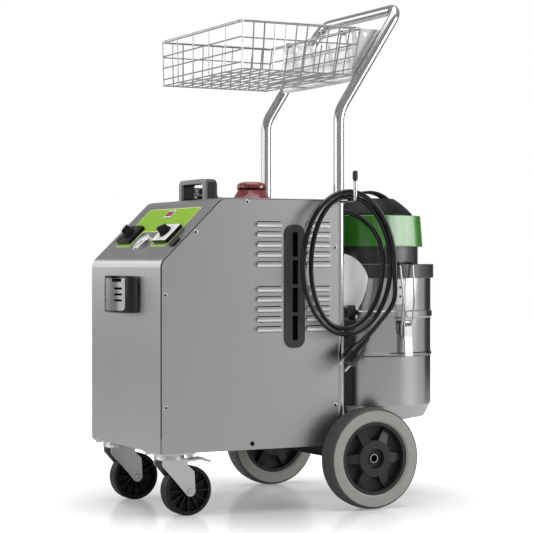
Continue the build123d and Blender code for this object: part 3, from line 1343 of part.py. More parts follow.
def castor_wheel(side):
    """Solid wheel with radial ribs on both faces."""
    x = side * CASTOR_ACROSS
    plane = Plane(origin=(x, CASTOR_AXLE_Y, CASTOR_RADIUS), x_dir=(0, 1, 0), z_dir=(1, 0, 0))
    inside = CASTOR_RADIUS - CASTOR_TREAD
    with BuildPart() as wheel:
        with BuildSketch(plane):
            Circle(CASTOR_RADIUS)
            Circle(inside, mode=Mode.SUBTRACT)
        extrude(amount=CASTOR_WIDTH / 2, both=True)
        outer_edges = [e for e in wheel.edges().filter_by(GeomType.CIRCLE) if e.radius > inside + 1]
        chamfer(outer_edges, length=3)
        with BuildSketch(plane):
            Circle(inside + CASTOR_TREAD / 2)
        extrude(amount=CASTOR_WEB / 2, both=True)
        with BuildSketch(plane):
            with PolarLocations((inside + CASTOR_HUB_RADIUS) / 2, CASTOR_RIBS):
                Rectangle(inside - CASTOR_HUB_RADIUS + 4, CASTOR_RIB_THICK)
        extrude(amount=CASTOR_WIDTH / 2 - 3, both=True)
        with BuildSketch(plane):
            Circle(CASTOR_HUB_RADIUS)
        extrude(amount=FORK_INSIDE / 2 - 2 * FIT, both=True)
        with BuildSketch(plane):
            Circle(FORK_AXLE_RADIUS + RUNNING)
        extrude(amount=FORK_INSIDE, both=True, mode=Mode.SUBTRACT)
    return wheel.part


def castor_brake(side):
    """Foot pedal on its pin, reaching out behind the fork."""
    x = side * CASTOR_ACROSS
    pin_y = CASTOR_Y + PEDAL_PIN_BACK
    pin_z = PEDAL_PIN_Z
    top = pin_z + PEDAL_BARREL
    with BuildPart() as pedal:
        with BuildSketch(Plane.YZ.offset(x - PEDAL_WIDTH / 2)):
            with Locations((pin_y, pin_z)):
                Circle(PEDAL_BARREL)
            Polygon(
                (pin_y, top),
                (pin_y + PEDAL_LENGTH * 0.75, top + PEDAL_KICK),
                (pin_y + PEDAL_LENGTH, top - PEDAL_KICK),
                (pin_y + PEDAL_LENGTH - 2, top - PEDAL_KICK - PEDAL_THICK),
                (pin_y + PEDAL_LENGTH * 0.72, top + PEDAL_KICK - PEDAL_THICK),
                (pin_y, top - PEDAL_THICK),
                align=None,
            )
            with Locations((pin_y, pin_z)):
                Circle(PEDAL_PIN_RADIUS + RUNNING, mode=Mode.SUBTRACT)
        extrude(amount=PEDAL_WIDTH)
    return pedal.part


for side, name in ((-1, "left"), (1, "right")):
    keep(castor_fork(side), f"castor_fork_{name}")
    keep(castor_wheel(side), f"castor_wheel_{name}")
    keep(castor_brake(side), f"castor_brake_{name}")

# Frame under the rear: two rails with the axle's eyes, and the shelf that carries the drum
SHELF_TOP = DRUM_BOTTOM - FIT
SHELF_UNDER = SHELF_TOP - SHELF_SHEET
with BuildPart() as rear_frame:
    for side in (1, -1):
        with BuildSketch(Plane.YZ.offset(side * RAIL_ACROSS)):
            Polygon(
                (back(RAIL_FRONT), BODY_Z),
                (REAR_Y + FIT, BODY_Z),
                (REAR_Y + RAIL_CLIMB, SHELF_UNDER),
                (back(RAIL_END), SHELF_UNDER),
                (back(RAIL_END), SHELF_UNDER - RAIL_TAIL),
                (AXLE_Y + RAIL_EYE, AXLE_Z - RAIL_EYE * 0.8),
                (AXLE_Y - RAIL_EYE, AXLE_Z - RAIL_EYE * 0.8),
                (back(RAIL_FRONT), BODY_Z - RAIL_NOSE),
                align=None,
            )
            with Locations((AXLE_Y, AXLE_Z)):
                Circle(AXLE_RADIUS + RUNNING, mode=Mode.SUBTRACT)
        extrude(amount=RAIL_THICK / 2, both=True)
    with BuildSketch(Plane.XY.offset(SHELF_UNDER)):
        with Locations((0, VAC_Y)):
            Circle(SHELF_RADIUS)
    extrude(amount=SHELF_SHEET)
keep(rear_frame.part, "rear_frame")

# Cradle: a sheet across the posts with a wing on each side of the drum
CRADLE_Y = TUBE_Y + TUBE_RADIUS + FIT
with BuildPart() as drum_cradle:
    with BuildSketch(Plane.XZ.offset(-CRADLE_Y)):
        with Locations((0, (CRADLE_LOW + CRADLE_HIGH) / 2)):
            Rectangle(2 * (CRADLE_ACROSS + CRADLE_LAP), CRADLE_HIGH - CRADLE_LOW)
    extrude(amount=-CRADLE_SHEET)
    for side in (1, -1):
        with BuildSketch(Plane.YZ.offset(side * CRADLE_ACROSS)):
            with BuildLine():
                tail = ThreePointArc(
                    (back(WING_POINT_BACK), WING_POINT_HEIGHT),
                    (back(WING_POINT_BACK) - 6, (WING_POINT_HEIGHT + WING_WAIST_HEIGHT) / 2),
                    (back(WING_FOOT_BACK) + 6, WING_WAIST_HEIGHT),
                )
                crown = ThreePointArc(
                    (back(WING_TOP_BACK), CRADLE_HIGH),
                    (
                        back((WING_TOP_BACK + WING_POINT_BACK) / 2) + WING_CROWN,
                        (CRADLE_HIGH + WING_POINT_HEIGHT) / 2 + WING_CROWN,
                    ),
                    tail @ 0,
                )
                Polyline(
                    tail @ 1,
                    (back(WING_FOOT_BACK), CRADLE_LOW),
                    (CRADLE_Y, CRADLE_LOW),
                    (CRADLE_Y, CRADLE_HIGH),
                    crown @ 0,
                )
            make_face()
            if side > 0:
                with Locations((back(STAR_BACK), STAR_HEIGHT)):
                    Circle(STAR_STEM_RADIUS + RUNNING, mode=Mode.SUBTRACT)
        extrude(amount=-side * CRADLE_SHEET)
keep(drum_cradle.part, "drum_cradle")

# Star knob of the cradle
STAR_PLANE = Plane(
    origin=(CRADLE_ACROSS + FIT, back(STAR_BACK), STAR_HEIGHT),
    x_dir=(0, 1, 0),
    z_dir=(1, 0, 0),
)
with BuildPart() as cradle_knob:
    with BuildSketch(STAR_PLANE):
        Circle(STAR_RADIUS - STAR_LOBE_RADIUS)
        with PolarLocations(STAR_RADIUS - STAR_LOBE_RADIUS, STAR_LOBES):
            Circle(STAR_LOBE_RADIUS)
    extrude(amount=STAR_LENGTH)
    with BuildSketch(STAR_PLANE):
        Circle(STAR_STEM_RADIUS)
    extrude(amount=-STAR_STEM_LENGTH)
keep(cradle_knob.part, "cradle_knob")

# Vacuum drum: thin steel with a bead, a ribbed band and a drawn-in foot
VAC_AXIS = Axis((0, VAC_Y, 0), (0, 0, 1))
with BuildPart() as vac_drum:
    with BuildSketch(Plane.XZ.offset(-VAC_Y)):
        with BuildLine():
            inner_radius = DRUM_RADIUS - DRUM_WALL
            Polyline(
                (0, DRUM_BOTTOM),
                (DRUM_FOOT_RADIUS, DRUM_BOTTOM),
                (DRUM_RADIUS, DRUM_TAPER_TOP),
                (DRUM_RADIUS, BEAD_LOW),
                (DRUM_RADIUS + BEAD_OUT, BEAD_LOW + BEAD_OUT),
                (DRUM_RADIUS + BEAD_OUT, BEAD_HIGH - BEAD_OUT),
                (DRUM_RADIUS, BEAD_HIGH),
                (DRUM_RADIUS, RIB_LOW),
                (DRUM_RADIUS + RIB_OUT, RIB_LOW + RIB_OUT),
                (DRUM_RADIUS + RIB_OUT, RIB_HIGH - RIB_OUT),
                (DRUM_RADIUS, RIB_HIGH),
                (DRUM_RADIUS, DRUM_TOP),
                (inner_radius, DRUM_TOP),
                (inner_radius, DRUM_TAPER_TOP),
                (DRUM_FOOT_RADIUS - DRUM_WALL, DRUM_BOTTOM + DRUM_WALL),
                (0, DRUM_BOTTOM + DRUM_WALL),
                close=True,
            )
        make_face()
    revolve(axis=VAC_AXIS)
    inlet_way = (cos(radians(INLET_ANGLE)), sin(radians(INLET_ANGLE)), 0)
    with BuildSketch(Plane(origin=(0, VAC_Y, INLET_HEIGHT), z_dir=inlet_way)):
        Circle(INLET_BORE)
    extrude(amount=RING_RADIUS, mode=Mode.SUBTRACT)
keep(vac_drum.part, "vac_drum")

# Suction inlet on the drum, turned away from the front
INLET_FOOT = sqrt(DRUM_RADIUS**2 - INLET_FLANGE_RADIUS**2)
with BuildPart() as vac_inlet:
    inlet_plane = Plane(origin=(0, VAC_Y, INLET_HEIGHT), z_dir=inlet_way)
    with BuildSketch(inlet_plane.offset(INLET_FOOT)):
        Circle(INLET_FLANGE_RADIUS)
    extrude(amount=DRUM_RADIUS + INLET_FLANGE - INLET_FOOT)
    with BuildSketch(inlet_plane.offset(DRUM_RADIUS)):
        Circle(INLET_RADIUS)
    extrude(amount=INLET_LENGTH)
    with BuildSketch(inlet_plane):
        Circle(INLET_BORE)
    extrude(amount=DRUM_RADIUS + INLET_LENGTH + FIT, mode=Mode.SUBTRACT)
    with Locations((0, VAC_Y, INLET_HEIGHT)):
        Cylinder(DRUM_RADIUS, 4 * INLET_FLANGE_RADIUS, mode=Mode.SUBTRACT)
keep(vac_inlet.part, "vac_inlet")

# Clamp ring that closes the drum and carries the head
with BuildPart() as vac_ring:
    with BuildSketch(Plane.XZ.offset(-VAC_Y)):
        with BuildLine():
            Polyline(
                (DRUM_RADIUS - 4 * DRUM_WALL, DRUM_TOP),
                (RING_RADIUS - 1, DRUM_TOP),
                (RING_RADIUS, DRUM_TOP + 1),
                (RING_RADIUS, RING_TOP - 1),
                (RING_RADIUS - 1, RING_TOP),
                (HEAD_NECK_RADIUS - 2 * HEAD_WALL, RING_TOP),
                (HEAD_NECK_RADIUS - 2 * HEAD_WALL, RING_TOP - RING_SHEET),
                (DRUM_RADIUS - 4 * DRUM_WALL, RING_TOP - RING_SHEET),
                close=True,
            )
        make_face()
    revolve(axis=VAC_AXIS)
keep(vac_ring.part, "vac_ring")

# Head of the vacuum: neck, green band, dome with its grip
with BuildPart() as vac_neck:
    with BuildSketch(Plane.XY.offset(RING_TOP)):
        with Locations((0, VAC_Y)):
            Circle(HEAD_NECK_RADIUS)
            Circle(HEAD_NECK_RADIUS - HEAD_WALL, mode=Mode.SUBTRACT)
    extrude(amount=HEAD_NECK_TOP - RING_TOP)
keep(vac_neck.part, "vac_neck")

with BuildPart() as vac_band:
    with BuildSketch(Plane.XZ.offset(-VAC_Y)):
        with BuildLine():
            Polyline(
                (HEAD_NECK_RADIUS - HEAD_WALL, HEAD_NECK_TOP),
                (BAND_RADIUS, HEAD_NECK_TOP),
                (BAND_RADIUS, HEAD_NECK_TOP + BAND_LIP),
                (BAND_TOP_RADIUS, BAND_TOP - 1),
                (BAND_TOP_RADIUS - 1, BAND_TOP),
                (DOME_RADIUS - 3 * HEAD_WALL, BAND_TOP),
                (DOME_RADIUS - 3 * HEAD_WALL, BAND_TOP - HEAD_WALL),
                (BAND_TOP_RADIUS - HEAD_WALL, BAND_TOP - HEAD_WALL),
                (BAND_RADIUS - HEAD_WALL, HEAD_NECK_TOP + HEAD_WALL),
                (HEAD_NECK_RADIUS - HEAD_WALL, HEAD_NECK_TOP + HEAD_WALL),
                close=True,
            )
        make_face()
    revolve(axis=VAC_AXIS)
keep(vac_band.part, "vac_band")

with BuildPart() as vac_dome:
    with BuildSketch(Plane.XZ.offset(-VAC_Y)):
        with BuildLine():
            shoulder = ThreePointArc(
                (DOME_RADIUS, BAND_TOP + DOME_LIP),
                (
                    (DOME_RADIUS + DOME_FLAT_RADIUS) / 2 + DOME_SWELL,
                    (BAND_TOP + DOME_LIP + DOME_TOP) / 2 + DOME_SWELL,
                ),
                (DOME_FLAT_RADIUS, DOME_TOP),
            )
            Polyline(
                shoulder @ 1,
                (DISH_RADIUS, DOME_TOP),
                (DISH_RADIUS - 6, DOME_TOP - DISH_DEPTH),
                (0, DOME_TOP - DISH_DEPTH),
                (0, BAND_TOP),
                (DOME_RADIUS, BAND_TOP),
                shoulder @ 0,
            )
        make_face()
    revolve(axis=VAC_AXIS)
    with BuildSketch(Plane.YZ.offset(-GRIP_WIDTH / 2)):
        with BuildLine():
            over = ThreePointArc(
                (VAC_Y - GRIP_REACH, DOME_TOP - 2), (VAC_Y, GRIP_TOP), (VAC_Y + GRIP_REACH, DOME_TOP - 2)
            )
            under = ThreePointArc(
                (VAC_Y - GRIP_REACH + GRIP_THICK, DOME_TOP - 4),
                (VAC_Y, GRIP_TOP - GRIP_THICK),
                (VAC_Y + GRIP_REACH - GRIP_THICK, DOME_TOP - 4),
            )
            Line(over @ 0, under @ 0)
            Line(over @ 1, under @ 1)
        make_face()
    extrude(amount=GRIP_WIDTH)
keep(vac_dome.part, "vac_dome")

# Motor hanging under the band
with BuildPart() as vac_motor:
    with BuildSketch(Plane.XY.offset(BAND_TOP)):
        with Locations((0, VAC_Y)):
            Circle(MOTOR_RADIUS)
    extrude(amount=-MOTOR_LENGTH)
    with BuildSketch(Plane.XY.offset(BAND_TOP - MOTOR_LENGTH)):
        with Locations((0, VAC_Y)):
            Circle(MOTOR_RADIUS * 0.6)
    extrude(amount=-MOTOR_LENGTH / 5)
keep(vac_motor.part, "vac_motor")

# Toggle clamps: base on the drum, lever on its pin, wire bail on the lever
def clamp_plane(angle, out, height):
    """Upright plane through a clamp: local x runs out from the drum, local y up."""
    way = Vector(cos(radians(angle)), sin(radians(angle)), 0)
    across = Vector(sin(radians(angle)), -cos(radians(angle)), 0)
    origin = Vector(0, VAC_Y, height) + way * out
    return Plane(origin=origin, x_dir=way, z_dir=across)


def clamp_base(angle):
    """Block riveted to the drum with the lever's pin through it."""
    with BuildPart() as base:
        with BuildSketch(clamp_plane(angle, 0, CLAMP_PIVOT)):
            with Locations((CLAMP_REACH, 0)):
                Circle(LEVER_EAR_RADIUS - 1)
            Polygon(
                (CLAMP_REACH, LEVER_EAR_RADIUS - 1),
                (DRUM_RADIUS + FIT, LEVER_EAR_RADIUS - 1),
                (DRUM_RADIUS + FIT, -CLAMP_BASE_HEIGHT),
                (DRUM_RADIUS + 3, -CLAMP_BASE_HEIGHT),
                (CLAMP_REACH, 1 - LEVER_EAR_RADIUS),
                align=None,
            )
        extrude(amount=CLAMP_BASE_HALF, both=True)
        with BuildSketch(clamp_plane(angle, CLAMP_REACH, CLAMP_PIVOT)):
            Circle(CLAMP_PIN_RADIUS)
        extrude(amount=LEVER_HALF, both=True)
    return base.part


def guide_plate(angle):
    """Thin plate on the drum above a clamp, bent to the drum."""
    with BuildPart() as guide:
        with BuildSketch(Plane.XY.offset(GUIDE_LOW)):
            with Locations(Location((0, VAC_Y, 0), (0, 0, angle))):
                Circle(DRUM_RADIUS + FIT + GUIDE_SHEET)
                Circle(DRUM_RADIUS + FIT, mode=Mode.SUBTRACT)
                with Locations((DRUM_RADIUS, 0)):
                    Rectangle(GUIDE_WIDTH, GUIDE_WIDTH, mode=Mode.INTERSECT)
        extrude(amount=GUIDE_HIGH - GUIDE_LOW)
    return guide.part


def clamp_lever(angle):
    """Pressed lever: a plate with two ears that hold the pin and the bail."""
    plate_in = LEVER_EAR_RADIUS
    with BuildPart() as lever:
        for side in (1, -1):
            ear_plane = clamp_plane(angle, CLAMP_REACH, CLAMP_PIVOT).offset(side * LEVER_HALF)
            with BuildSketch(ear_plane):
                bail_drop = CLAMP_PIVOT - CLAMP_BAIL_PIVOT
                Circle(LEVER_EAR_RADIUS)
                with Locations((0, -bail_drop)):
                    Circle(LEVER_EAR_RADIUS)
                with Locations(((plate_in - LEVER_EAR_RADIUS) / 2, -bail_drop / 2)):
                    Rectangle(plate_in + LEVER_EAR_RADIUS, bail_drop)
                with Locations((LEVER_EAR_RADIUS / 2, -bail_drop)):
                    Rectangle(LEVER_EAR_RADIUS, 2 * LEVER_EAR_RADIUS)
                Circle(CLAMP_PIN_RADIUS + RUNNING, mode=Mode.SUBTRACT)
                with Locations((0, -bail_drop)):
                    Circle(BAIL_WIRE / 2 + RUNNING, mode=Mode.SUBTRACT)
            extrude(amount=-side * LEVER_SHEET)
        with BuildSketch(clamp_plane(angle, CLAMP_REACH, CLAMP_PIVOT)):
            Polygon(
                (plate_in, -LEVER_OPEN),
                (plate_in + LEVER_PLATE, -LEVER_OPEN),
                (plate_in + LEVER_PLATE, CLAMP_BAIL_PIVOT - CLAMP_PIVOT - LEVER_EAR_RADIUS),
                (plate_in + LEVER_PLATE + LEVER_STEP, LEVER_LOW - CLAMP_PIVOT),
                (plate_in + LEVER_STEP, LEVER_LOW - CLAMP_PIVOT),
                (plate_in, CLAMP_BAIL_PIVOT - CLAMP_PIVOT - LEVER_EAR_RADIUS),
                align=None,
            )
        extrude(amount=LEVER_HALF, both=True)
    return lever.part


def clamp_bail(angle):
    """Wire from the lever's ears up both sides and over the clamp ring."""
    way = Vector(cos(radians(angle)), sin(radians(angle)), 0)
    along = Vector(-sin(radians(angle)), cos(radians(angle)), 0)

    def place(out, sideways, height):
        return Vector(0, VAC_Y, height) + way * out + along * sideways

    top = RING_TOP + BAIL_WIRE / 2 + FIT
    inner = LEVER_HALF - 2 * LEVER_SHEET
    bow_half = (BAIL_BOTTOM_HALF + BAIL_TOP_HALF) / 2
    corner = BAIL_WIRE * 0.6
    with BuildPart() as bail:
        with BuildLine() as wire:
            FilletPolyline(
                place(CLAMP_REACH, inner, CLAMP_BAIL_PIVOT),
                place(CLAMP_REACH, BAIL_BOTTOM_HALF, CLAMP_BAIL_PIVOT),
                place(BAIL_BOW, bow_half, BAIL_BOW_HEIGHT),
                place(CLAMP_REACH, BAIL_TOP_HALF, top),
                place(BAIL_HOOK_REACH, BAIL_TOP_HALF, top),
                place(BAIL_HOOK_REACH, -BAIL_TOP_HALF, top),
                place(CLAMP_REACH, -BAIL_TOP_HALF, top),
                place(BAIL_BOW, -bow_half, BAIL_BOW_HEIGHT),
                place(CLAMP_REACH, -BAIL_BOTTOM_HALF, CLAMP_BAIL_PIVOT),
                place(CLAMP_REACH, -inner, CLAMP_BAIL_PIVOT),
                radius=(corner, BAIL_BOW_RADIUS, corner, corner, corner, corner, BAIL_BOW_RADIUS, corner),
            )
        with BuildSketch(Plane(wire.line @ 0, z_dir=wire.line % 0)):
            Circle(BAIL_WIRE / 2)
        sweep(path=wire.line)
    return bail.part


with BuildPart() as clamp_bases:
    for angle in (CLAMP_ANGLE, CLAMP_ANGLE + 180):
        add(clamp_base(angle))
        add(guide_plate(angle + GUIDE_TURN))
keep(clamp_bases.part, "clamp_bases")
for angle, name in ((CLAMP_ANGLE, "right"), (CLAMP_ANGLE + 180, "left")):
    keep(clamp_lever(angle), f"clamp_lever_{name}")
    keep(clamp_bail(angle), f"clamp_bail_{name}")

# Boiler on its feet, water tank under the filler
BOILER_Y = back(BOILER_BACK)
with BuildPart() as boiler:
    with BuildSketch(Plane.XZ.offset(-BOILER_Y)):
        with Locations((0, BOILER_Z)):
            Circle(BOILER_RADIUS)
    extrude(amount=BOILER_LENGTH / 2 - BOILER_DOME, both=True)
    with BuildSketch(Plane.XZ.offset(-BOILER_Y)):
        with Locations((0, BOILER_Z)):
            Circle(BOILER_RADIUS - BOILER_DOME)
    extrude(amount=BOILER_LENGTH / 2, both=True)
    with BuildSketch(Plane.XY.offset(FLOOR_Z)):
        with Locations((0, BOILER_Y - BOILER_LENGTH / 4), (0, BOILER_Y + BOILER_LENGTH / 4)):
            Rectangle(BOILER_FOOT_WIDTH, BOILER_FOOT_THICK)
    extrude(amount=BOILER_FOOT_HIGH + BOILER_RADIUS / 2)
    with BuildSketch(Plane.XZ.offset(-BOILER_Y)):
        with Locations((0, BOILER_Z)):
            Circle(BOILER_RADIUS - BOILER_WALL)
    extrude(amount=BOILER_LENGTH / 2 - BOILER_DOME - BOILER_WALL, both=True, mode=Mode.SUBTRACT)
    with BuildSketch(Plane.XY.offset(BOILER_Z)):
        with Locations((0, PIPE_Y)):
            Circle(STEAM_PIPE_RADIUS - BOILER_WALL)
    extrude(amount=2 * BOILER_RADIUS, mode=Mode.SUBTRACT)
keep(boiler.part, "boiler")

with BuildPart() as water_tank:
    with BuildSketch(Plane.XY.offset(TANK_Z)):
        with Locations((0, REAR_Y - SHEET - FIT - TANK_LENGTH / 2)):
            RectangleRounded(TANK_WIDTH, TANK_LENGTH, TANK_CORNER)
    extrude(amount=TANK_HEIGHT)
    with BuildSketch(Plane.XY.offset(TANK_Z + TANK_WALL)):
        with Locations((0, REAR_Y - SHEET - FIT - TANK_LENGTH / 2)):
            RectangleRounded(
                TANK_WIDTH - 2 * TANK_WALL, TANK_LENGTH - 2 * TANK_WALL, TANK_CORNER - TANK_WALL
            )
    extrude(amount=TANK_HEIGHT - 2 * TANK_WALL, mode=Mode.SUBTRACT)
    with BuildSketch(Plane.XY.offset(TANK_TOP)):
        with Locations((0, FILLER_Y)):
            Circle(NECK_BORE)
    extrude(amount=-TANK_CORNER, mode=Mode.SUBTRACT)
keep(water_tank.part, "water_tank")

os.makedirs("parts", exist_ok=True)
for node_name, node_part in NODES.items():
    export_step(node_part, f"parts/{node_name}.step")
print(len(NODES), "nodes")
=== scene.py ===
# %% [markdown]
# # A steam cleaner with a vacuum on its back
# The machine is a steel box on two large wheels and two castors. It has a sloped control
# panel, a wire basket on a tube handle and a drum vacuum behind. The solids come from the CAD
# part, and all but a few stay as they are. This script gives them finishes, adds what is too fine
# for the CAD, such as screws, dial marks and basket wires, and sets up the picture.

from functools import partialmethod
from math import atan2, cos, pi, radians, sin

import bmesh
import bpy
from mathutils import Matrix, Vector


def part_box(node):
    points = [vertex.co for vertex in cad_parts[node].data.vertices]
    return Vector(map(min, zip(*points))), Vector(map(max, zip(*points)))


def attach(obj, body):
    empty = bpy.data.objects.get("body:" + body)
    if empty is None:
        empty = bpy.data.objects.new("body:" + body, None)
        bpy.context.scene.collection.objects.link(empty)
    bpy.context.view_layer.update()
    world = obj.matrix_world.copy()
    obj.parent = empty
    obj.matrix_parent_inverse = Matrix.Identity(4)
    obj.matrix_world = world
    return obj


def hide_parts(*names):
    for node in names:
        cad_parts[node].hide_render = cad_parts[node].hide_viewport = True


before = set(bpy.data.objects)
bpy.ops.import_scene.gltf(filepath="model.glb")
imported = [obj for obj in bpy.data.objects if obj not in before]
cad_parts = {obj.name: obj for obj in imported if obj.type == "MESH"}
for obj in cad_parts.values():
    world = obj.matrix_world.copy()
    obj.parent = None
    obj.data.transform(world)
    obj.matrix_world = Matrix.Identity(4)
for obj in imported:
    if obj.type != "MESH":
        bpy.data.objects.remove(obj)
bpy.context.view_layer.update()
MM = 0.001


def mm(*values):
    """Millimetres as metres."""
    return tuple(value * MM for value in values)


# %% [markdown]
# ## The camera
# The picture was taken from the front right corner, level with the middle of the body, with
# a long lens. A camera that stands level keeps upright edges upright, and the small vertical shift
# moves the machine in the frame without tilting the camera.

# %% Camera
CAMERA_PLACE = (3.2894, -1.7115, 0.5036)
CAMERA_TURN = 62.734
CAMERA_LENS = 116.9
CAMERA_SHIFT = -0.00602


def put(name, data):
    """New object with this data, linked to the scene."""
    thing = bpy.data.objects.new(name, data)
    bpy.context.collection.objects.link(thing)
    return thing


camera_data = bpy.data.cameras.new("photo_camera")
camera_data.sensor_width = 36.0
camera_data.lens = CAMERA_LENS
camera_data.shift_y = CAMERA_SHIFT
camera = put("photo_camera", camera_data)
camera.location = CAMERA_PLACE
camera.rotation_euler = (radians(90), 0, radians(CAMERA_TURN))
bpy.context.scene.camera = camera
bpy.context.scene.view_settings.view_transform = "Standard"
print("camera at", CAMERA_PLACE, "lens", CAMERA_LENS)

# %% [markdown]
# ## The mains cable
# The cable leaves the gland in the rear panel, goes round behind the post and hangs in two
# loose turns over the hook, with the plug at its end. A cable is one smooth line, so it is one
# NURBS curve with a round bevel. A quadratic spline touches the middle of each side of its
# control polygon, so a turn's control points are the corners of a polygon of twelve sides that
# lies round the turn, and the turn itself passes through its four outermost places.

# %% Route of the cable
CABLE_DIAMETER = 10 * MM
GLAND_EXIT = Vector((140, 82, 612)) * MM
LEAD_SPOTS = [(140, 125, 612), (193, 157.3, 553)]
END_SPOTS = [(217, 172.3, 468), (217, 172.3, 421), (217, 139, 386), (217, 106, 352)]
COIL_PITCH = 12 * MM
COIL_SIDE_X = 193 * MM
COIL_SIDE_Z = 500 * MM
COIL_MIDDLE_Y = 67.3 * MM
COIL_BOTTOM_Y = 61.3 * MM
BACK_REACH = mm(90, 101, 105)
FRONT_REACH = mm(84, 108)
COIL_BOTTOM_Z = mm(369, 358)
COIL_TOP_Z = mm(641.3, 650.8)
COIL_TOP_X = mm(202, 208)
QUARTER_STEPS = (15, 45, 75)


def quarter_turn(side, end, side_first):
    """Control points of a quarter turn from the coil's side to its top or bottom, or back."""
    points = []
    for step in QUARTER_STEPS:
        angle = radians(step if side_first else 90 - step)
        share = angle / radians(90)
        reach = 1 / cos(radians(QUARTER_STEPS[0]))
        x = side.x + (end.x - side.x) * share
        y = end.y + (side.y - end.y) * reach * cos(angle)
        z = side.z + (end.z - side.z) * reach * sin(angle)
        points.append(Vector((x, y, z)))
    return points


# %% Turns of the cable over the hook
cable_points = [GLAND_EXIT] + [Vector(spot) * MM for spot in LEAD_SPOTS]
for turn in range(len(FRONT_REACH)):
    across = COIL_SIDE_X + turn * COIL_PITCH
    rear = Vector((across, COIL_MIDDLE_Y + BACK_REACH[turn], COIL_SIDE_Z))
    bottom = Vector((across + COIL_PITCH / 4, COIL_BOTTOM_Y, COIL_BOTTOM_Z[turn]))
    front = Vector((across + COIL_PITCH / 2, COIL_MIDDLE_Y - FRONT_REACH[turn], COIL_SIDE_Z))
    top = Vector((COIL_TOP_X[turn], COIL_MIDDLE_Y, COIL_TOP_Z[turn]))
    next_rear = Vector((across + COIL_PITCH, COIL_MIDDLE_Y + BACK_REACH[turn + 1], COIL_SIDE_Z))
    cable_points += quarter_turn(rear, bottom, True)
    cable_points += quarter_turn(front, bottom, False)
    cable_points += quarter_turn(front, top, True)
    cable_points += quarter_turn(next_rear, top, False)
cable_points += [Vector(spot) * MM for spot in END_SPOTS]

cable_curve = bpy.data.curves.new("mains_cable", "CURVE")
cable_curve.dimensions = "3D"
cable_spline = cable_curve.splines.new("NURBS")
cable_spline.points.add(len(cable_points) - 1)
for point, place in zip(cable_spline.points, cable_points):
    point.co = (*place, 1.0)
    point.radius = CABLE_DIAMETER / 2
cable_spline.order_u = 3
cable_spline.use_endpoint_u = True
cable_curve.resolution_u = 8
cable_curve.bevel_depth = 1.0
cable_curve.bevel_resolution = 4
cable_curve.use_fill_caps = True
mains_cable = put("mains_cable", cable_curve)
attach(mains_cable, "machine")
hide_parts("mains_cable_lead", "mains_cable_coil")
print("cable control points:", len(cable_points))

# %% [markdown]
# ## Writing shaders as sums
# Node setups are easier to read as sums than as lists of links. One small class wraps an output
# socket, so that `1 - mask` or `grain * 0.1` adds the Math node that it stands for. A shader
# holds one node tree, and its `add` method makes any other node from its kind, its settings and
# what goes into its sockets.

# %% Sockets that can be added and multiplied
class Signal:
    """An output socket that takes part in Python sums."""

    def __init__(self, shader, output):
        self.shader = shader
        self.output = output

    def math(self, operation, other=0.0, turned=False):
        first, second = (other, self) if turned else (self, other)
        return self.shader.add("ShaderNodeMath", {"operation": operation}, {0: first, 1: second})

    __add__ = __radd__ = partialmethod(math, "ADD")
    __sub__ = partialmethod(math, "SUBTRACT")
    __rsub__ = partialmethod(math, "SUBTRACT", turned=True)
    __mul__ = __rmul__ = partialmethod(math, "MULTIPLY")
    __pow__ = partialmethod(math, "POWER")
    __abs__ = partialmethod(math, "ABSOLUTE")
    least = partialmethod(math, "MINIMUM")
    most = partialmethod(math, "MAXIMUM")


class Shader:
    """A node tree that nodes are added to."""

    def __init__(self, tree):
        self.tree = tree

    def feed(self, socket, value):
        if isinstance(value, Signal):
            self.tree.links.new(value.output, socket)
        else:
            socket.default_value = value

    def add(self, kind, settings=None, sockets=None, output=0):
        node = self.tree.nodes.new(kind)
        for name, value in (settings or {}).items():
            if name == "stops":
                ramp = node.color_ramp.elements
                while len(ramp) < len(value):
                    ramp.new(1.0)
                for element, (position, colour) in zip(ramp, value):
                    element.position = position
                    element.color = colour
            else:
                setattr(node, name, value)
        for name, value in (sockets or {}).items():
            self.feed(node.inputs[name], value)
        return Signal(self, node.outputs[output])


print("shader classes ready")

# %% [markdown]
# ## A finish
# Each finish is a Principled BSDF. Patterns read Object coordinates, which are metres in the
# machine's own frame, so one noise scale means the same on every piece. A mask is a smooth step
# over a distance, which gives a crisp border with no hard pixel edge.

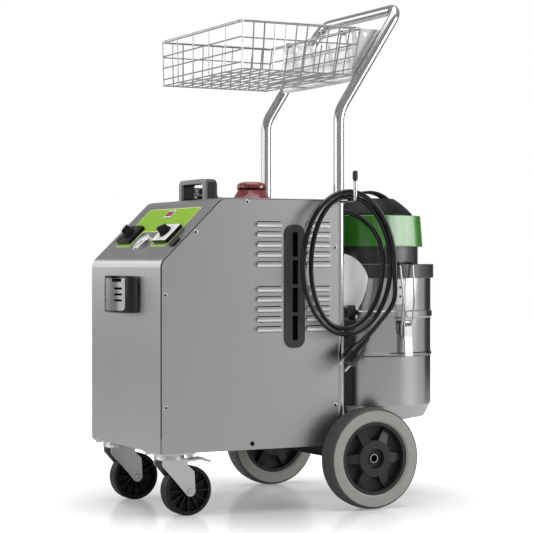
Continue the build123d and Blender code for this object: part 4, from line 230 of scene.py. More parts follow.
# %% The finish class
class Finish(Shader):
    """One material with its Principled shader and the patterns that the finishes share."""

    def __init__(self, name, colour, roughness, metallic=0.0, **sockets):
        self.material = bpy.data.materials.new(name)
        self.material.use_nodes = True
        super().__init__(self.material.node_tree)
        self.principled = self.tree.nodes["Principled BSDF"]
        self.set("Base Color", (*colour, 1.0))
        self.set("Roughness", roughness)
        self.set("Metallic", metallic)
        for socket, value in sockets.items():
            self.set(socket.replace("_", " "), value)

    def set(self, socket, value):
        self.feed(self.principled.inputs[socket], value)

    def where(self, stretch=(1, 1, 1), centre=(0, 0, 0)):
        spot = self.add("ShaderNodeTexCoord", output="Object")
        shift = tuple(-c * s for c, s in zip(centre, stretch))
        sockets = {"Vector": spot, "Location": shift, "Scale": stretch}
        return self.add("ShaderNodeMapping", {"vector_type": "POINT"}, sockets)

    def axes(self, centre=(0, 0, 0)):
        node = self.add("ShaderNodeSeparateXYZ", sockets={0: self.where(centre=centre)}).output.node
        return [Signal(self, node.outputs[index]) for index in range(3)]

    def noise(self, stretch, detail=2.0):
        stretch = stretch if isinstance(stretch, tuple) else (stretch, stretch, stretch)
        sockets = {"Vector": self.where(stretch), "Scale": 1.0, "Detail": detail}
        return self.add("ShaderNodeTexNoise", {"noise_dimensions": "3D"}, sockets)

    def step(self, value, low, high):
        sockets = {"Value": value, "From Min": low, "From Max": high}
        return self.add("ShaderNodeMapRange", {"interpolation_type": "SMOOTHSTEP"}, sockets)

    def mix(self, factor, *colours):
        first, second = (c if isinstance(c, Signal) else (*c, 1.0) for c in colours)
        return self.add("ShaderNodeMix", {"data_type": "RGBA"}, {0: factor, 6: first, 7: second}, 2)

    def vary(self, factor, colour, low, high):
        pair = (tuple(part * share for part in colour) for share in (low, high))
        self.set("Base Color", self.mix(factor, *pair))

    def bump(self, height, depth, strength=1.0):
        sockets = {"Strength": strength, "Distance": depth, "Height": height}
        self.set("Normal", self.add("ShaderNodeBump", {}, sockets))


def both(stem):
    """Names of a left and a right node."""
    return f"{stem}_left", f"{stem}_right"


def dress(finish, *names):
    """Give CAD nodes this finish."""
    for name in names:
        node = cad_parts[name]
        if not node.material_slots:
            node.data.materials.append(finish.material)
        for slot in node.material_slots:
            slot.material = finish.material
    print(finish.material.name, "on", len(names), "nodes")
    return finish


# %% [markdown]
# ## The studio
# The picture is a product shot on white, with a white floor that runs into the background. Polished
# metal shows only what stands round it. So the room that reflections see is mid grey, the floor is
# white, and upright soft boxes draw the bright lines on drum and tubes. Dark boards outside the
# picture give round things their dark edges. Only the camera sees the white background.

# %% Sky
SKY_STOPS = [
    (0.0, (0.52, 0.52, 0.53, 1.0)),
    (0.2, (0.46, 0.46, 0.47, 1.0)),
    (0.5, (0.4, 0.4, 0.41, 1.0)),
    (1.0, (0.5, 0.5, 0.5, 1.0)),
]
world = bpy.data.worlds.new("studio")
bpy.context.scene.world = world
world.use_nodes = True
sky = Shader(world.node_tree)
direction = sky.add("ShaderNodeTexCoord", output="Generated")
height = sky.add("ShaderNodeSeparateXYZ", sockets={0: direction}, output=2)
room = sky.add("ShaderNodeValToRGB", {"stops": SKY_STOPS}, {0: height})
seen = sky.add("ShaderNodeLightPath", output="Is Camera Ray")
sky_colour = sky.add("ShaderNodeMix", {"data_type": "RGBA"}, {0: seen, 6: room, 7: (1, 1, 1, 1)}, 2)
background = world.node_tree.nodes["Background"]
sky.feed(background.inputs["Color"], sky_colour)
background.inputs["Strength"].default_value = 1.0
print("sky stops:", len(SKY_STOPS))

# %% Floor
FLOOR_RADIUS = 12.0
CLEAR_FLOOR = (0.2, 0.95)
NEAR_GLOW = 0.19
FAR_GLOW = 0.8

floor_mesh = bpy.data.meshes.new("floor")
sheet = bmesh.new()
bmesh.ops.create_circle(sheet, cap_ends=True, radius=FLOOR_RADIUS, segments=64)
sheet.to_mesh(floor_mesh)
sheet.free()
floor = put("floor", floor_mesh)
floor_finish = Finish(
    "white_floor", (0.76, 0.76, 0.76), 0.16, Specular_IOR_Level=0.3, Emission_Strength=1.0
)
floor_x, floor_y, _ = floor_finish.axes()
far = floor_finish.step((floor_x**2 + floor_y**2) ** 0.5, *CLEAR_FLOOR)
seen = floor_finish.add("ShaderNodeLightPath", output="Is Camera Ray")
glow = floor_finish.mix((NEAR_GLOW + far * FAR_GLOW) * seen, (0, 0, 0), (1, 1, 1))
floor_finish.set("Emission Color", glow)
floor_mesh.materials.append(floor_finish.material)
print("floor radius:", FLOOR_RADIUS)

# %% [markdown]
# Two of the soft boxes light the green band alone, by light linking. Its gloss mirrors a bright
# wall that would wash out the panels.


# %% Soft boxes and dark boards
def soft_box(name, place, aim, width, length, power):
    """Area lamp at place that looks at aim."""
    data = bpy.data.lights.new(name, "AREA")
    data.shape = "RECTANGLE"
    data.size = width
    data.size_y = length
    data.energy = power
    lamp = put(name, data)
    lamp.location = place
    lamp.rotation_euler = (Vector(aim) - Vector(place)).to_track_quat("-Z", "Y").to_euler()
    return lamp


soft_box("top_box", (0.0, 0.0, 3.6), (0, 0, 0.2), 3.0, 3.0, 84)
soft_box("drum_box", (2.2, 3.15, 1.25), (0, 0.236, 0.5), 1.9, 1.5, 62)
soft_box("left_box", (-0.9, -3.3, 1.05), (0, 0, 0.6), 1.4, 1.7, 17)
soft_box("socket_box", (1.2, -3.2, 0.75), (0, -0.35, 0.45), 0.45, 1.4, 9)
soft_box("front_box", (-3.0, -1.35, 1.7), (0, 0, 0.5), 1.4, 0.5, 5)
soft_box("low_front_box", (-3.1, -1.5, 0.95), (0, 0, 0.5), 1.4, 0.9, 5)
band_alone = bpy.data.collections.new("lit_by_band_boxes")
band_alone.objects.link(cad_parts["vac_band"])
for band_box in (
    soft_box("band_box_side", (3.23, 1.93, 1.2), (0, 0.236, 0.6), 1.7, 1.5, 54),
    soft_box("band_box_rear", (0.84, 3.79, 1.2), (0, 0.236, 0.6), 1.3, 1.5, 28),
):
    band_box.light_linking.receiver_collection = band_alone

board_finish = Finish("board_black", (0.02, 0.02, 0.02), 0.9)


def dark_board(name, place, width, height):
    """Upright dark board that only reflections see."""
    mesh = bpy.data.meshes.new(name)
    board = bmesh.new()
    heading = Matrix.Rotation(atan2(-place[0], place[1]), 4, "Z")
    turn = Matrix.Translation(place) @ heading @ Matrix.Rotation(radians(90), 4, "X")
    size = Matrix.Diagonal((width, height, 1, 1))
    bmesh.ops.create_grid(board, x_segments=1, y_segments=1, size=0.5, matrix=turn @ size)
    board.to_mesh(mesh)
    board.free()
    mesh.materials.append(board_finish.material)
    thing = put(name, mesh)
    for ray in ("camera", "diffuse", "shadow", "transmission"):
        setattr(thing, f"visible_{ray}", False)


dark_board("board_front", (2.0, -2.9, 1.0), 1.2, 2.0)
dark_board("board_left", (-3.68, 0.0, 1.0), 1.0, 2.0)
dark_board("board_right", (-1.3, 3.4, 1.0), 2.2, 2.0)
print("studio: one floor, eight soft boxes, three boards")

# %% [markdown]
# ## Steel
# The body is satin stainless sheet: even, with a very fine grain and slightly smudged, so its
# roughness changes a little over large patches. The drum is brighter and smoother, the tubes
# are close to chrome, and pressed parts such as castors are zinc plated, which is duller and mottled.

# %% Sheet, drum, tubes and plated parts
SHEET_LOOK = (0.34, (60, 60, 1400), 7.0, 0.06)
DRUM_COLOUR = (0.5, 0.5, 0.495)
TUBES = ("frame_posts", "push_handle", "rear_axle")
PLATED = ("castor_plates", *both("castor_fork"), *both("castor_brake"), "clamp_bases", *both("clamp_lever"))


def steel(name, colour, roughness, grain, smudge, spread, *nodes):
    """Bare steel for these nodes, with a fine grain and broad smudges in its roughness."""
    finish = Finish(name, colour, roughness, 1.0)
    fine = finish.noise(grain, 2.0)
    broad = finish.noise(smudge, 3.0)
    finish.set("Roughness", roughness + (fine - 0.5) * spread + (broad - 0.5) * spread * 0.6)
    finish.vary(broad, colour, 0.97, 1.03)
    finish.bump(fine, 0.00002, 0.15)
    return dress(finish, *nodes)


steel("satin_sheet", (0.455, 0.449, 0.443), *SHEET_LOOK, "chassis_base", "front_panel")
drum_steel = steel("bright_drum", DRUM_COLOUR, 0.2, (1500, 1500, 40), 9.0, 0.05, "vac_drum")
steel("bright_tube", (0.52, 0.52, 0.52), 0.13, (300, 300, 60), 12.0, 0.04, *TUBES)
wire_chrome = steel("bright_wire", (0.42, 0.42, 0.42), 0.22, 500, 20.0, 0.05, "basket_rim")
zinc_plate = steel("zinc_plate", (0.6, 0.6, 0.59), 0.36, 260, 60.0, 0.14, *PLATED)
steel("motor_casing", (0.3, 0.3, 0.31), 0.45, 200, 30.0, 0.1, "boiler", "vac_motor")
steel("bright_cradle", (0.78, 0.78, 0.77), 0.3, (900, 900, 60), 9.0, 0.05, "drum_cradle")
steel("bright_bracket", (0.66, 0.66, 0.65), 0.28, (900, 900, 60), 9.0, 0.05, "basket_bracket")
screw_steel = steel("screw_steel", (0.6, 0.6, 0.59), 0.4, 500, 60.0, 0.06)
steel("brass", (0.62, 0.42, 0.16), 0.28, 300, 40.0, 0.08, "steam_coupling")

# %% [markdown]
# ## Bead and louvres
# The slopes of the drum's bead are painted dark, as painted shade for the dark reflection that they
# show. Their mask is the distance from the bead's middle height, between its flat and its foot. The
# lower half of each louvre is painted bright, a painted highlight for the white floor that it
# mirrors. Louvres are the only places that stand proud of the side panels, so one mask is the
# distance across. The other is where a place lies in its row: the rows repeat, so the height is
# divided by their pitch and only the fraction is kept.

# %% Drum with painted shade on its bead
BEAD_MIDDLE = 308.5 * MM
BEAD_FLAT = mm(1.7, 2.3)
BEAD_FOOT = mm(4.2, 4.8)
BEAD_SHADE_COLOUR = (0.12, 0.12, 0.118)

from_bead = abs(drum_steel.axes()[2] - BEAD_MIDDLE)
# Painted shade: the slopes of the bead are made dark, standing in for the dark reflection on them.
bead_shade = drum_steel.step(from_bead, *BEAD_FLAT) * (1 - drum_steel.step(from_bead, *BEAD_FOOT))
drum_steel.set("Base Color", drum_steel.mix(bead_shade, DRUM_COLOUR, BEAD_SHADE_COLOUR))
print("dark bead at", BEAD_MIDDLE)

# %% Side panels with a painted highlight on each louvre
PANEL_FACE = 184 * MM
ROW_PITCH = 20.2 * MM
LOWEST_ROWS = mm(369.2, 500.2)
GROUP_SPLIT = 475 * MM
SIDE_COLOUR = (0.438, 0.432, 0.427)
LOUVRE_HIGHLIGHT_COLOUR = (0.93, 0.925, 0.92)

side_steel = steel("satin_side", SIDE_COLOUR, *SHEET_LOOK, *both("side_panel"))
side_x, _, side_z = side_steel.axes()
proud = side_steel.step(abs(side_x), PANEL_FACE + 0.5 * MM, PANEL_FACE + 1.2 * MM)
upper_group = side_steel.step(side_z, GROUP_SPLIT, GROUP_SPLIT + 1 * MM)
row = upper_group * (LOWEST_ROWS[1] - LOWEST_ROWS[0]) + LOWEST_ROWS[0]
in_row = ((side_z - row) * (1 / ROW_PITCH) + 0.5).math("FRACT")
# Painted highlight: the lower half of each louvre is made near white, for the bright floor that it mirrors.
louvre_highlight = proud * (1 - side_steel.step(in_row, 0.4, 0.6))
side_steel.set("Base Color", side_steel.mix(louvre_highlight, SIDE_COLOUR, LOUVRE_HIGHLIGHT_COLOUR))

# %% [markdown]
# ## Moulded plastic, and painted shade on the rear sheets
# Black mouldings are never pure black: their eroded surface is a fine grain that spreads the
# light. One function gives them all that grain, and colour, gloss and depth of grain differ. The
# rear frame and the rear panel are made near black in the same way, as painted shade: the drum and
# the green band mirror them as a dark gap behind the body.

# %% Black, grey, red and green mouldings
SMOOTH = 0.00001
COARSE = {"depth": 0.0001, "grain": 900}
PATCHES = 18
BLACK_PARTS = ("switch_boxes", "selector_knob", "heat_knob", "cable_gland", "vac_inlet")
FLAP_COAT = {"Coat_Weight": 1.0, "Coat_IOR": 2.2, "Coat_Roughness": 0.22}
BAND_COAT = {"Coat_Weight": 1.0, "Coat_IOR": 1.68, "Coat_Roughness": 0.24, "grain": 900}
CAP_LOOK = {"depth": SMOOTH, "gloss": 0.8}


def moulding(name, colour, roughness, *nodes, depth=0.00005, grain=1300, gloss=0.5, **sockets):
    """Moulded plastic for these nodes, with an eroded grain and faint patches in its gloss."""
    finish = Finish(name, colour, roughness, Specular_IOR_Level=gloss, **sockets)
    fine = finish.noise(grain, 2.0)
    broad = finish.noise(PATCHES, 2.0)
    finish.set("Roughness", roughness + (broad - 0.5) * 0.1)
    finish.vary(fine, colour, 0.85, 1.15)
    finish.bump(fine, depth, 0.4)
    return dress(finish, *nodes)


black_moulding = moulding("black_moulding", (0.007, 0.007, 0.008), 0.4, *BLACK_PARTS, gloss=0.2)
housing_moulding = moulding(
    "housing_moulding", (0.004, 0.004, 0.005), 0.22, "socket_housing", depth=SMOOTH, gloss=0.3
)
moulding("knob_moulding", (0.005, 0.005, 0.006), 0.2, "cradle_knob", depth=SMOOTH, gloss=0.6)
moulding("hub_moulding", (0.026, 0.0257, 0.0247), 0.45, *both("rear_hub"), **COARSE, gloss=0.3)
moulding("castor_moulding", (0.009, 0.009, 0.009), 0.5, *both("castor_wheel"), **COARSE, gloss=0.25)
moulding("button_moulding", (0.028, 0.028, 0.028), 0.4, "push_button", gloss=0.3)
moulding("ring_moulding", (0.034, 0.034, 0.035), 0.3, "vac_ring", "vac_neck", gloss=0.65)
# Painted shade: the rear frame and rear panel are near black, so the drum and band mirror a dark gap.
moulding("rear_sheet_shade", (0.02, 0.02, 0.021), 0.42, "rear_frame", "rear_panel", depth=0.00003, gloss=0.3)
moulding("strip_moulding", (0.03, 0.03, 0.029), 0.4, "vent_strips", gloss=0.4)
moulding("dome_moulding", (0.006, 0.006, 0.007), 0.4, "vac_dome", gloss=0.12)
moulding("flap_moulding", (0.05, 0.05, 0.051), 0.3, "socket_flap", depth=SMOOTH, **FLAP_COAT)
moulding("band_moulding", (0.024, 0.14, 0.009), 0.3, "vac_band", depth=SMOOTH, gloss=0.0, **BAND_COAT)
moulding("tank_moulding", (0.7, 0.7, 0.68), 0.45, "water_tank")
cap_moulding = moulding("cap_moulding", (0.22, 0.02, 0.024), 0.17, "filler_cap", "filler_neck", **CAP_LOOK)
tank_cap_moulding = moulding("tank_cap_moulding", (0.01, 0.01, 0.011), 0.2, depth=SMOOTH, gloss=1.0)
white_moulding = moulding("white_moulding", (0.78, 0.78, 0.76), 0.4, depth=0.00002)

# %% [markdown]
# ## The control plate
# The plate is printed lime green with a pale line along its edge. The line follows the plate's
# outline, a wide strip with two tabs, so its mask is the distance to the nearest of three
# rectangles. The distance is worked out in the slope's own directions: across, and up the slope.

# %% Green print with a pale border
SLOPE_FOOT = Vector((0, -344, 505)) * MM
SLOPE_RUN = 134 * MM
SLOPE_RISE = 130 * MM
UP_SLOPE = Vector((0, SLOPE_RUN, SLOPE_RISE)).normalized()
OFF_SLOPE = Vector((0, -SLOPE_RISE, SLOPE_RUN)).normalized()
PLATE_HALF = 131 * MM
PLATE_SPAN = mm(90, 161)
TAB_SPAN = mm(47, 96)
TAB_INNER = 54 * MM
BORDER = 2.4 * MM
BORDER_COLOUR = (0.6, 0.72, 0.35)

plate_print = Finish("plate_print", (0.21, 0.5, 0.03), 0.34, Specular_IOR_Level=0.2)
across, back, rise = plate_print.axes(SLOPE_FOOT)
up = back * UP_SLOPE.y + rise * UP_SLOPE.z


def beyond(value, low, high):
    """How far a value lies outside the stretch from low to high, negative inside."""
    return abs(value - (low + high) / 2) - (high - low) / 2


strip = beyond(across, -PLATE_HALF, PLATE_HALF).most(beyond(up, *PLATE_SPAN))
tabs = beyond(abs(across), TAB_INNER, PLATE_HALF).most(beyond(up, *TAB_SPAN))
edge = plate_print.step(strip.least(tabs), -BORDER, -BORDER * 0.8)
speck = plate_print.noise(700, 2.0)
green = plate_print.mix(speck, (0.235, 0.45, 0.016), (0.265, 0.5, 0.022))
plate_print.set("Base Color", plate_print.mix(edge, green, BORDER_COLOUR))
plate_print.set("Roughness", 0.3 + speck * 0.08)
dress(plate_print, "control_plate")

# %% [markdown]
# ## Parts in two colours
# Some solids carry two materials: the loop handle has a grey front edge, the hook a black cap, the
# clamps' bails black sleeves, the plug bright pins, and each tyre a pale side wall and a dark
# tread. Masks from Object coordinates split the colour at a plane or at a radius, so no extra piece
# is needed.

# %% Loop handle, hook and bails
LOOP_EDGE_Y = -187 * MM
HOOK_CAP_Z = 671 * MM
SLEEVE_Z = 499 * MM

loop_finish = moulding("loop_moulding", (0.018, 0.018, 0.019), 0.4, "top_handle")
front_edge = 1 - loop_finish.step(loop_finish.axes()[1], LOOP_EDGE_Y, LOOP_EDGE_Y + 0.5 * MM)
loop_colour = loop_finish.mix(front_edge, (0.012, 0.012, 0.013), (0.19, 0.19, 0.192))
loop_finish.set("Base Color", loop_colour)


def capped_rod(name, grey, black, roughness, dulling, level, blur, *nodes):
    """Bright rod with black plastic over it above a level."""
    colour = (grey, grey, grey)
    finish = steel(name, colour, roughness, 300, 30.0, 0.05, *nodes)
    capped = finish.step(finish.axes()[2], level, level + blur)
    finish.set("Base Color", finish.mix(capped, colour, (black, black, black)))
    finish.set("Metallic", 1 - capped)
    finish.set("Roughness", roughness + capped * dulling)


capped_rod("hook_rod", 0.55, 0.018, 0.16, 0.28, HOOK_CAP_Z, 0.3 * MM, "cable_hook")
capped_rod("bail_wire", 0.52, 0.012, 0.18, 0.25, SLEEVE_Z, 0.4 * MM, *both("clamp_bail"))

# %% Plug, tyres and cable
PLUG_START = Vector((217, 106, 352)) * MM
PLUG_WAY = Vector((0, -sin(radians(44)), -cos(radians(44))))
PLUG_FACE = 68 * MM
PLUG_COLOUR = (0.006, 0.006, 0.007)
PIN_COLOUR = (0.62, 0.6, 0.56)
AXLE_CENTRE = Vector((0, 108, 104)) * MM
TREAD_RADIUS = 97.6 * MM

plug_finish = moulding("plug_moulding", PLUG_COLOUR, 0.24, "mains_plug", gloss=0.3)
_, plug_y, plug_z = plug_finish.axes(PLUG_START)
plug_reach = plug_y * PLUG_WAY.y + plug_z * PLUG_WAY.z
pin = plug_finish.step(plug_reach, PLUG_FACE, PLUG_FACE + 0.3 * MM)
plug_finish.set("Base Color", plug_finish.mix(pin, PLUG_COLOUR, PIN_COLOUR))
plug_finish.set("Metallic", pin)

tyre_rubber = dress(Finish("tyre_rubber", (0.26, 0.26, 0.235), 0.62), *both("rear_tyre"))
_, tyre_y, tyre_z = tyre_rubber.axes(AXLE_CENTRE)
from_axle = (tyre_y**2 + tyre_z**2) ** 0.5
tread = tyre_rubber.step(from_axle, TREAD_RADIUS, TREAD_RADIUS + 0.8 * MM)
dust = tyre_rubber.noise(55, 4.0)
side_wall = tyre_rubber.mix(dust, (0.3, 0.3, 0.274), (0.365, 0.363, 0.33))
worn = tyre_rubber.mix(dust, (0.05, 0.05, 0.049), (0.085, 0.083, 0.078))
tyre_rubber.set("Base Color", tyre_rubber.mix(tread, side_wall, worn))
tyre_rubber.set("Roughness", 0.55 + dust * 0.2)
tyre_rubber.bump(tyre_rubber.noise(900, 2.0), 0.00015, 0.4)

cable_rubber = moulding("cable_rubber", (0.002, 0.002, 0.003), 0.09, depth=SMOOTH, grain=700, gloss=0.42)
mains_cable.data.materials.append(cable_rubber.material)

# %% [markdown]
# ## Gauge, glass and lamp
# The gauge's case is bright, its glass is almost clear and catches the light, and the lamp's
# lens is deep red with a wet gloss.

# %% Gauge and lamp finishes
steel("gauge_case", (0.5, 0.5, 0.5), 0.16, 400, 40.0, 0.05, "gauge_case")
clear_glass = dress(Finish("clear_glass", (0.9, 0.93, 0.94), 0.03, Alpha=0.06), "gauge_glass")
clear_glass.set("Roughness", 0.02 + clear_glass.noise(120, 2.0) * 0.06)
lamp_lens = Finish("lamp_lens", (0.3, 0.012, 0.02), 0.2, Specular_IOR_Level=0.4)
flutes = lamp_lens.noise((900, 40, 40), 1.0)
lamp_lens.set("Base Color", lamp_lens.mix(flutes, (0.2, 0.012, 0.02), (0.36, 0.02, 0.03)))
dress(lamp_lens, "indicator_lamp")
moulding("needle_paint", (0.2, 0.2, 0.2), 0.4, "gauge_needle", depth=SMOOTH)
ink_grey = moulding("ink_grey", (0.3, 0.3, 0.3), 0.55, depth=SMOOTH, gloss=0.2)
ink_black = moulding("ink_black", (0.012, 0.012, 0.012), 0.55, depth=SMOOTH, gloss=0.2)
# Near black with almost no gloss: painted shade in sockets, slots, seams and gaps, and the colour of a few
# black parts.
black_and_painted_shade = moulding("black_and_painted_shade", (0.002, 0.002, 0.002), 0.8, depth=0.0001, gloss=0.05)
ink_red = moulding("ink_red", (0.5, 0.02, 0.015), 0.5, depth=SMOOTH)
ink_green = moulding("ink_green", (0.04, 0.3, 0.05), 0.5, depth=SMOOTH)

# %% [markdown]
# ## Small helpers for new pieces
# A new piece is a bmesh that becomes an object at the origin with its place in its mesh, rides on a
# body and takes its finish as its material. Faces are shaded smooth except at edges sharper than a
# set angle, as machined and moulded parts look.

# %% From bmesh to piece
SHARP_ANGLE = 35
SAME_PLACE = 0.00001


def finish_piece(name, shape, finish, body="machine"):
    """Turn a bmesh into a shaded piece that rides on a body."""
    bmesh.ops.remove_doubles(shape, verts=shape.verts, dist=SAME_PLACE)
    bmesh.ops.recalc_face_normals(shape, faces=shape.faces)
    mesh = bpy.data.meshes.new(name)
    shape.to_mesh(mesh)
    shape.free()
    mesh.polygons.foreach_set("use_smooth", [True] * len(mesh.polygons))
    mesh.set_sharp_from_angle(angle=radians(SHARP_ANGLE))
    mesh.materials.append(finish.material)
    piece = put(name, mesh)
    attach(piece, body)
    print(name, len(mesh.polygons), "faces on", body)
    return piece


# %% Places
ACROSS = Vector((1, 0, 0))
UPWARD = Vector((0, 0, 1))


def turn_to(x_axis, y_axis, z_axis):
    """Turn that gives a place these three local axes."""
    return Matrix((x_axis, y_axis, z_axis)).transposed().to_4x4()


def on_slope(x, up_slope, off, turn=0.0):
    """Place on the sloped panel: local x across, local y up the slope, local z off it."""
    origin = SLOPE_FOOT + Vector((x, 0, 0)) + UP_SLOPE * up_slope + OFF_SLOPE * off
    axes = turn_to(ACROSS, UP_SLOPE, OFF_SLOPE)
    return Matrix.Translation(origin) @ axes @ Matrix.Rotation(turn, 4, "Z")


def facing(place, way):
    """Place whose local z looks along way."""
    return Matrix.Translation(place) @ Vector(way).to_track_quat("Z", "Y").to_matrix().to_4x4()


# %% Blocks, turned shapes and prisms
def soften(shape, geom, offset, segments=2, affect="EDGES"):
    """Bevel edges, or the corners of a flat shape."""
    bmesh.ops.bevel(
        shape, geom=geom, offset=offset, segments=segments, profile=0.5, affect=affect, material=-1
    )


def block(shape, place, size, edge=0.0):
    """Box of this size that stands on place's local z = 0, with rounded edges."""
    lift = Matrix.Translation((0, 0, size[2] / 2)) @ Matrix.Diagonal((*size, 1))
    made = bmesh.ops.create_cube(shape, size=1.0, matrix=place @ lift)
    if edge:
        soften(shape, list({e for v in made["verts"] for e in v.link_edges}), edge)


def turned(shape, place, section, steps, sweep=2 * pi):
    """Spin (radius, height) pairs round place's local z, as a closed bar if the turn isn't whole."""
    whole = sweep == 2 * pi
    verts = [shape.verts.new(place @ Vector((radius, 0, level))) for radius, level in section]
    following = verts[1:] if whole else verts[1:] + verts[:1]
    edges = [shape.edges.new(pair) for pair in zip(verts, following)]
    bmesh.ops.spin(
        shape,
        geom=verts + edges,
        cent=place.translation,
        axis=place.to_3x3() @ UPWARD,
        angle=sweep,
        steps=steps,
        use_merge=whole,
    )
    if not whole:
        ends = [edge for edge in shape.edges if edge.is_boundary]
        bmesh.ops.holes_fill(shape, edges=ends, sides=4)


def prism(shape, place, radius, end_radius, depth, sides):
    """Closed prism or cone with its middle at place, along place's local z."""
    sizes = {"radius1": radius, "radius2": end_radius, "depth": depth}
    return bmesh.ops.create_cone(shape, cap_ends=True, segments=sides, matrix=place, **sizes)


# %% [markdown]
# ## The wire basket
# The real basket is welded from round wire: hoops that run down one side, along the floor and up the
# other, with a few level wires across them. The CAD has flat nets for its sides, so here each wire
# is a thin prism, and a small ball closes each bend.

# %% Basket wires
WIRE_RADIUS = 1.5 * MM
RIM_HALF = 198 * MM
FLOOR_HALF = 192 * MM
RIM_FRONT = -171 * MM
RIM_REAR = 100 * MM
FLOOR_REAR = 84 * MM
RIM_LEVEL = 989 * MM
FLOOR_LEVEL = 893 * MM
FRONT_GAPS = 5
SIDE_GAPS = 11
CROSS_LEVELS = (0.33, 0.6, 0.86, 1)
SIDE_LEVELS = (0.35, 1)

basket = bmesh.new()


def wall_point(side_share, back_share, drop):
    """Place in the basket's walls: shares across and back, and how far down from the rim."""
    half = RIM_HALF + (FLOOR_HALF - RIM_HALF) * drop
    rear = RIM_REAR + (FLOOR_REAR - RIM_REAR) * drop
    y = RIM_FRONT + (rear - RIM_FRONT) * back_share
    return Vector((half * side_share, y, RIM_LEVEL + (FLOOR_LEVEL - RIM_LEVEL) * drop))


def bent_wire(*spots):
    """Wire through places in the walls, with a ball at each bend."""
    points = [wall_point(*spot) for spot in spots]
    for start, end in zip(points, points[1:]):
        way = end - start
        prism(basket, facing((start + end) / 2, way), WIRE_RADIUS, WIRE_RADIUS, way.length, 8)
    for point in points[1:-1]:
        ball = Matrix.Translation(point)
        bmesh.ops.create_icosphere(basket, subdivisions=2, radius=WIRE_RADIUS, matrix=ball)


for index in range(FRONT_GAPS + 1):
    share = 2 * index / FRONT_GAPS - 1
    bent_wire((share, 0, 0), (share, 0, 1), (share, 1, 1), (share, 1, 0))
for index in range(1, SIDE_GAPS):
    share = index / SIDE_GAPS
    bent_wire((-1, share, 0), (-1, share, 1), (1, share, 1), (1, share, 0))
for level in CROSS_LEVELS:
    bent_wire((-1, 0, level), (1, 0, level))
    bent_wire((-1, 1, level), (1, 1, level))
for side in (-1, 1):
    for level in SIDE_LEVELS:
        bent_wire((side, 0, level), (side, 1, level))
basket_wires = finish_piece("basket_wires", basket, wire_chrome)
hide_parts("basket_nets")

# %% [markdown]
# ## Screws of the panels
# Small button-head screws hold the side, rear and front sheets. Seen from a step away, each is a pale
# ring with a dark socket. A spun profile makes the domed head, and a short round plug in black fills
# its socket as painted shade for the hollow. The lowest screw of each side is black all over.

# %% Button-head screws
SIDE_HALF = 184 * MM
REAR_Y = 56 * MM
SCREW_RADIUS = 4.6 * MM
SCREW_HIGH = SCREW_RADIUS * 0.32
SCREW_SECTION = [(1, 0), (1, 0.4), (0.85, 0.9), (0.7, 1), (0, 1)]
SIDE_SCREWS = [(-154, 627), (-269, 565.5), (-334.7, 440.6), (48.4, 536), (48.4, 211.7), (-332.6, 220)]
LOW_SCREW = (-143, 141)
REAR_SCREWS = [(-172, 160), (172, 160), (-172, 560), (172, 560), (0, 145), (0, 622)]

screw_heads = bmesh.new()
screw_sockets = bmesh.new()


def button_screw(place, way, head=screw_heads):
    """Button-head screw standing on place, looking along way."""
    seat = facing(Vector(place), way)
    turned(head, seat, [(SCREW_RADIUS * out, SCREW_HIGH * level) for out, level in SCREW_SECTION], 16)
    middle = seat @ Matrix.Translation((0, 0, SCREW_HIGH * 0.86))
    # Painted shade: a black plug where the socket's hollow would be dark.
    prism(screw_sockets, middle, SCREW_RADIUS * 0.6, SCREW_RADIUS * 0.56, SCREW_HIGH * 0.4, 12)


for side in (-1, 1):
    for y, z in SIDE_SCREWS:
        button_screw((side * SIDE_HALF, y * MM, z * MM), (side, 0, 0))
    button_screw((side * SIDE_HALF, *mm(*LOW_SCREW)), (side, 0, 0), screw_sockets)
for x, z in REAR_SCREWS:
    button_screw((x * MM, REAR_Y, z * MM), (0, 1, 0))
finish_piece("panel_screws", screw_heads, screw_steel)
finish_piece("panel_screw_sockets", screw_sockets, black_and_painted_shade)

# %% [markdown]
# ## The pressure gauge's dial
# Under the glass is a white dial with eleven long marks, short marks between them, a green and a
# red arc and a few numbers. The marks are thin blocks turned round the dial's centre. The numbers
# are text objects, made into meshes and laid on the dial.

# %% Dial, marks and numbers
GAUGE_UP = 57 * MM
DIAL_OFF = 4.4 * MM
DIAL_THICK = 0.2 * MM
DIAL_SECTION = [(1.6, 0), (1.6, 0.2), (21, 0.2), (21, 0)]
DIAL_START = 225
DIAL_SWEEP = 270
DIAL_MARKS = 20
MARK_END = 19.8 * MM
LONG_MARK = 3.6 * MM
SHORT_MARK = 2.0 * MM
NUMBER_RING = 13 * MM
NUMBER_SIZE = 4.2 * MM
NUMBER_OFF = DIAL_OFF + 0.28 * MM

dial = bmesh.new()
turned(dial, on_slope(0, GAUGE_UP, DIAL_OFF), [mm(*pair) for pair in DIAL_SECTION], 48)
finish_piece("gauge_dial", dial, white_moulding)


def dial_turn(share):
    """Angle of a share of the dial's sweep."""
    return radians(DIAL_START - DIAL_SWEEP * share)


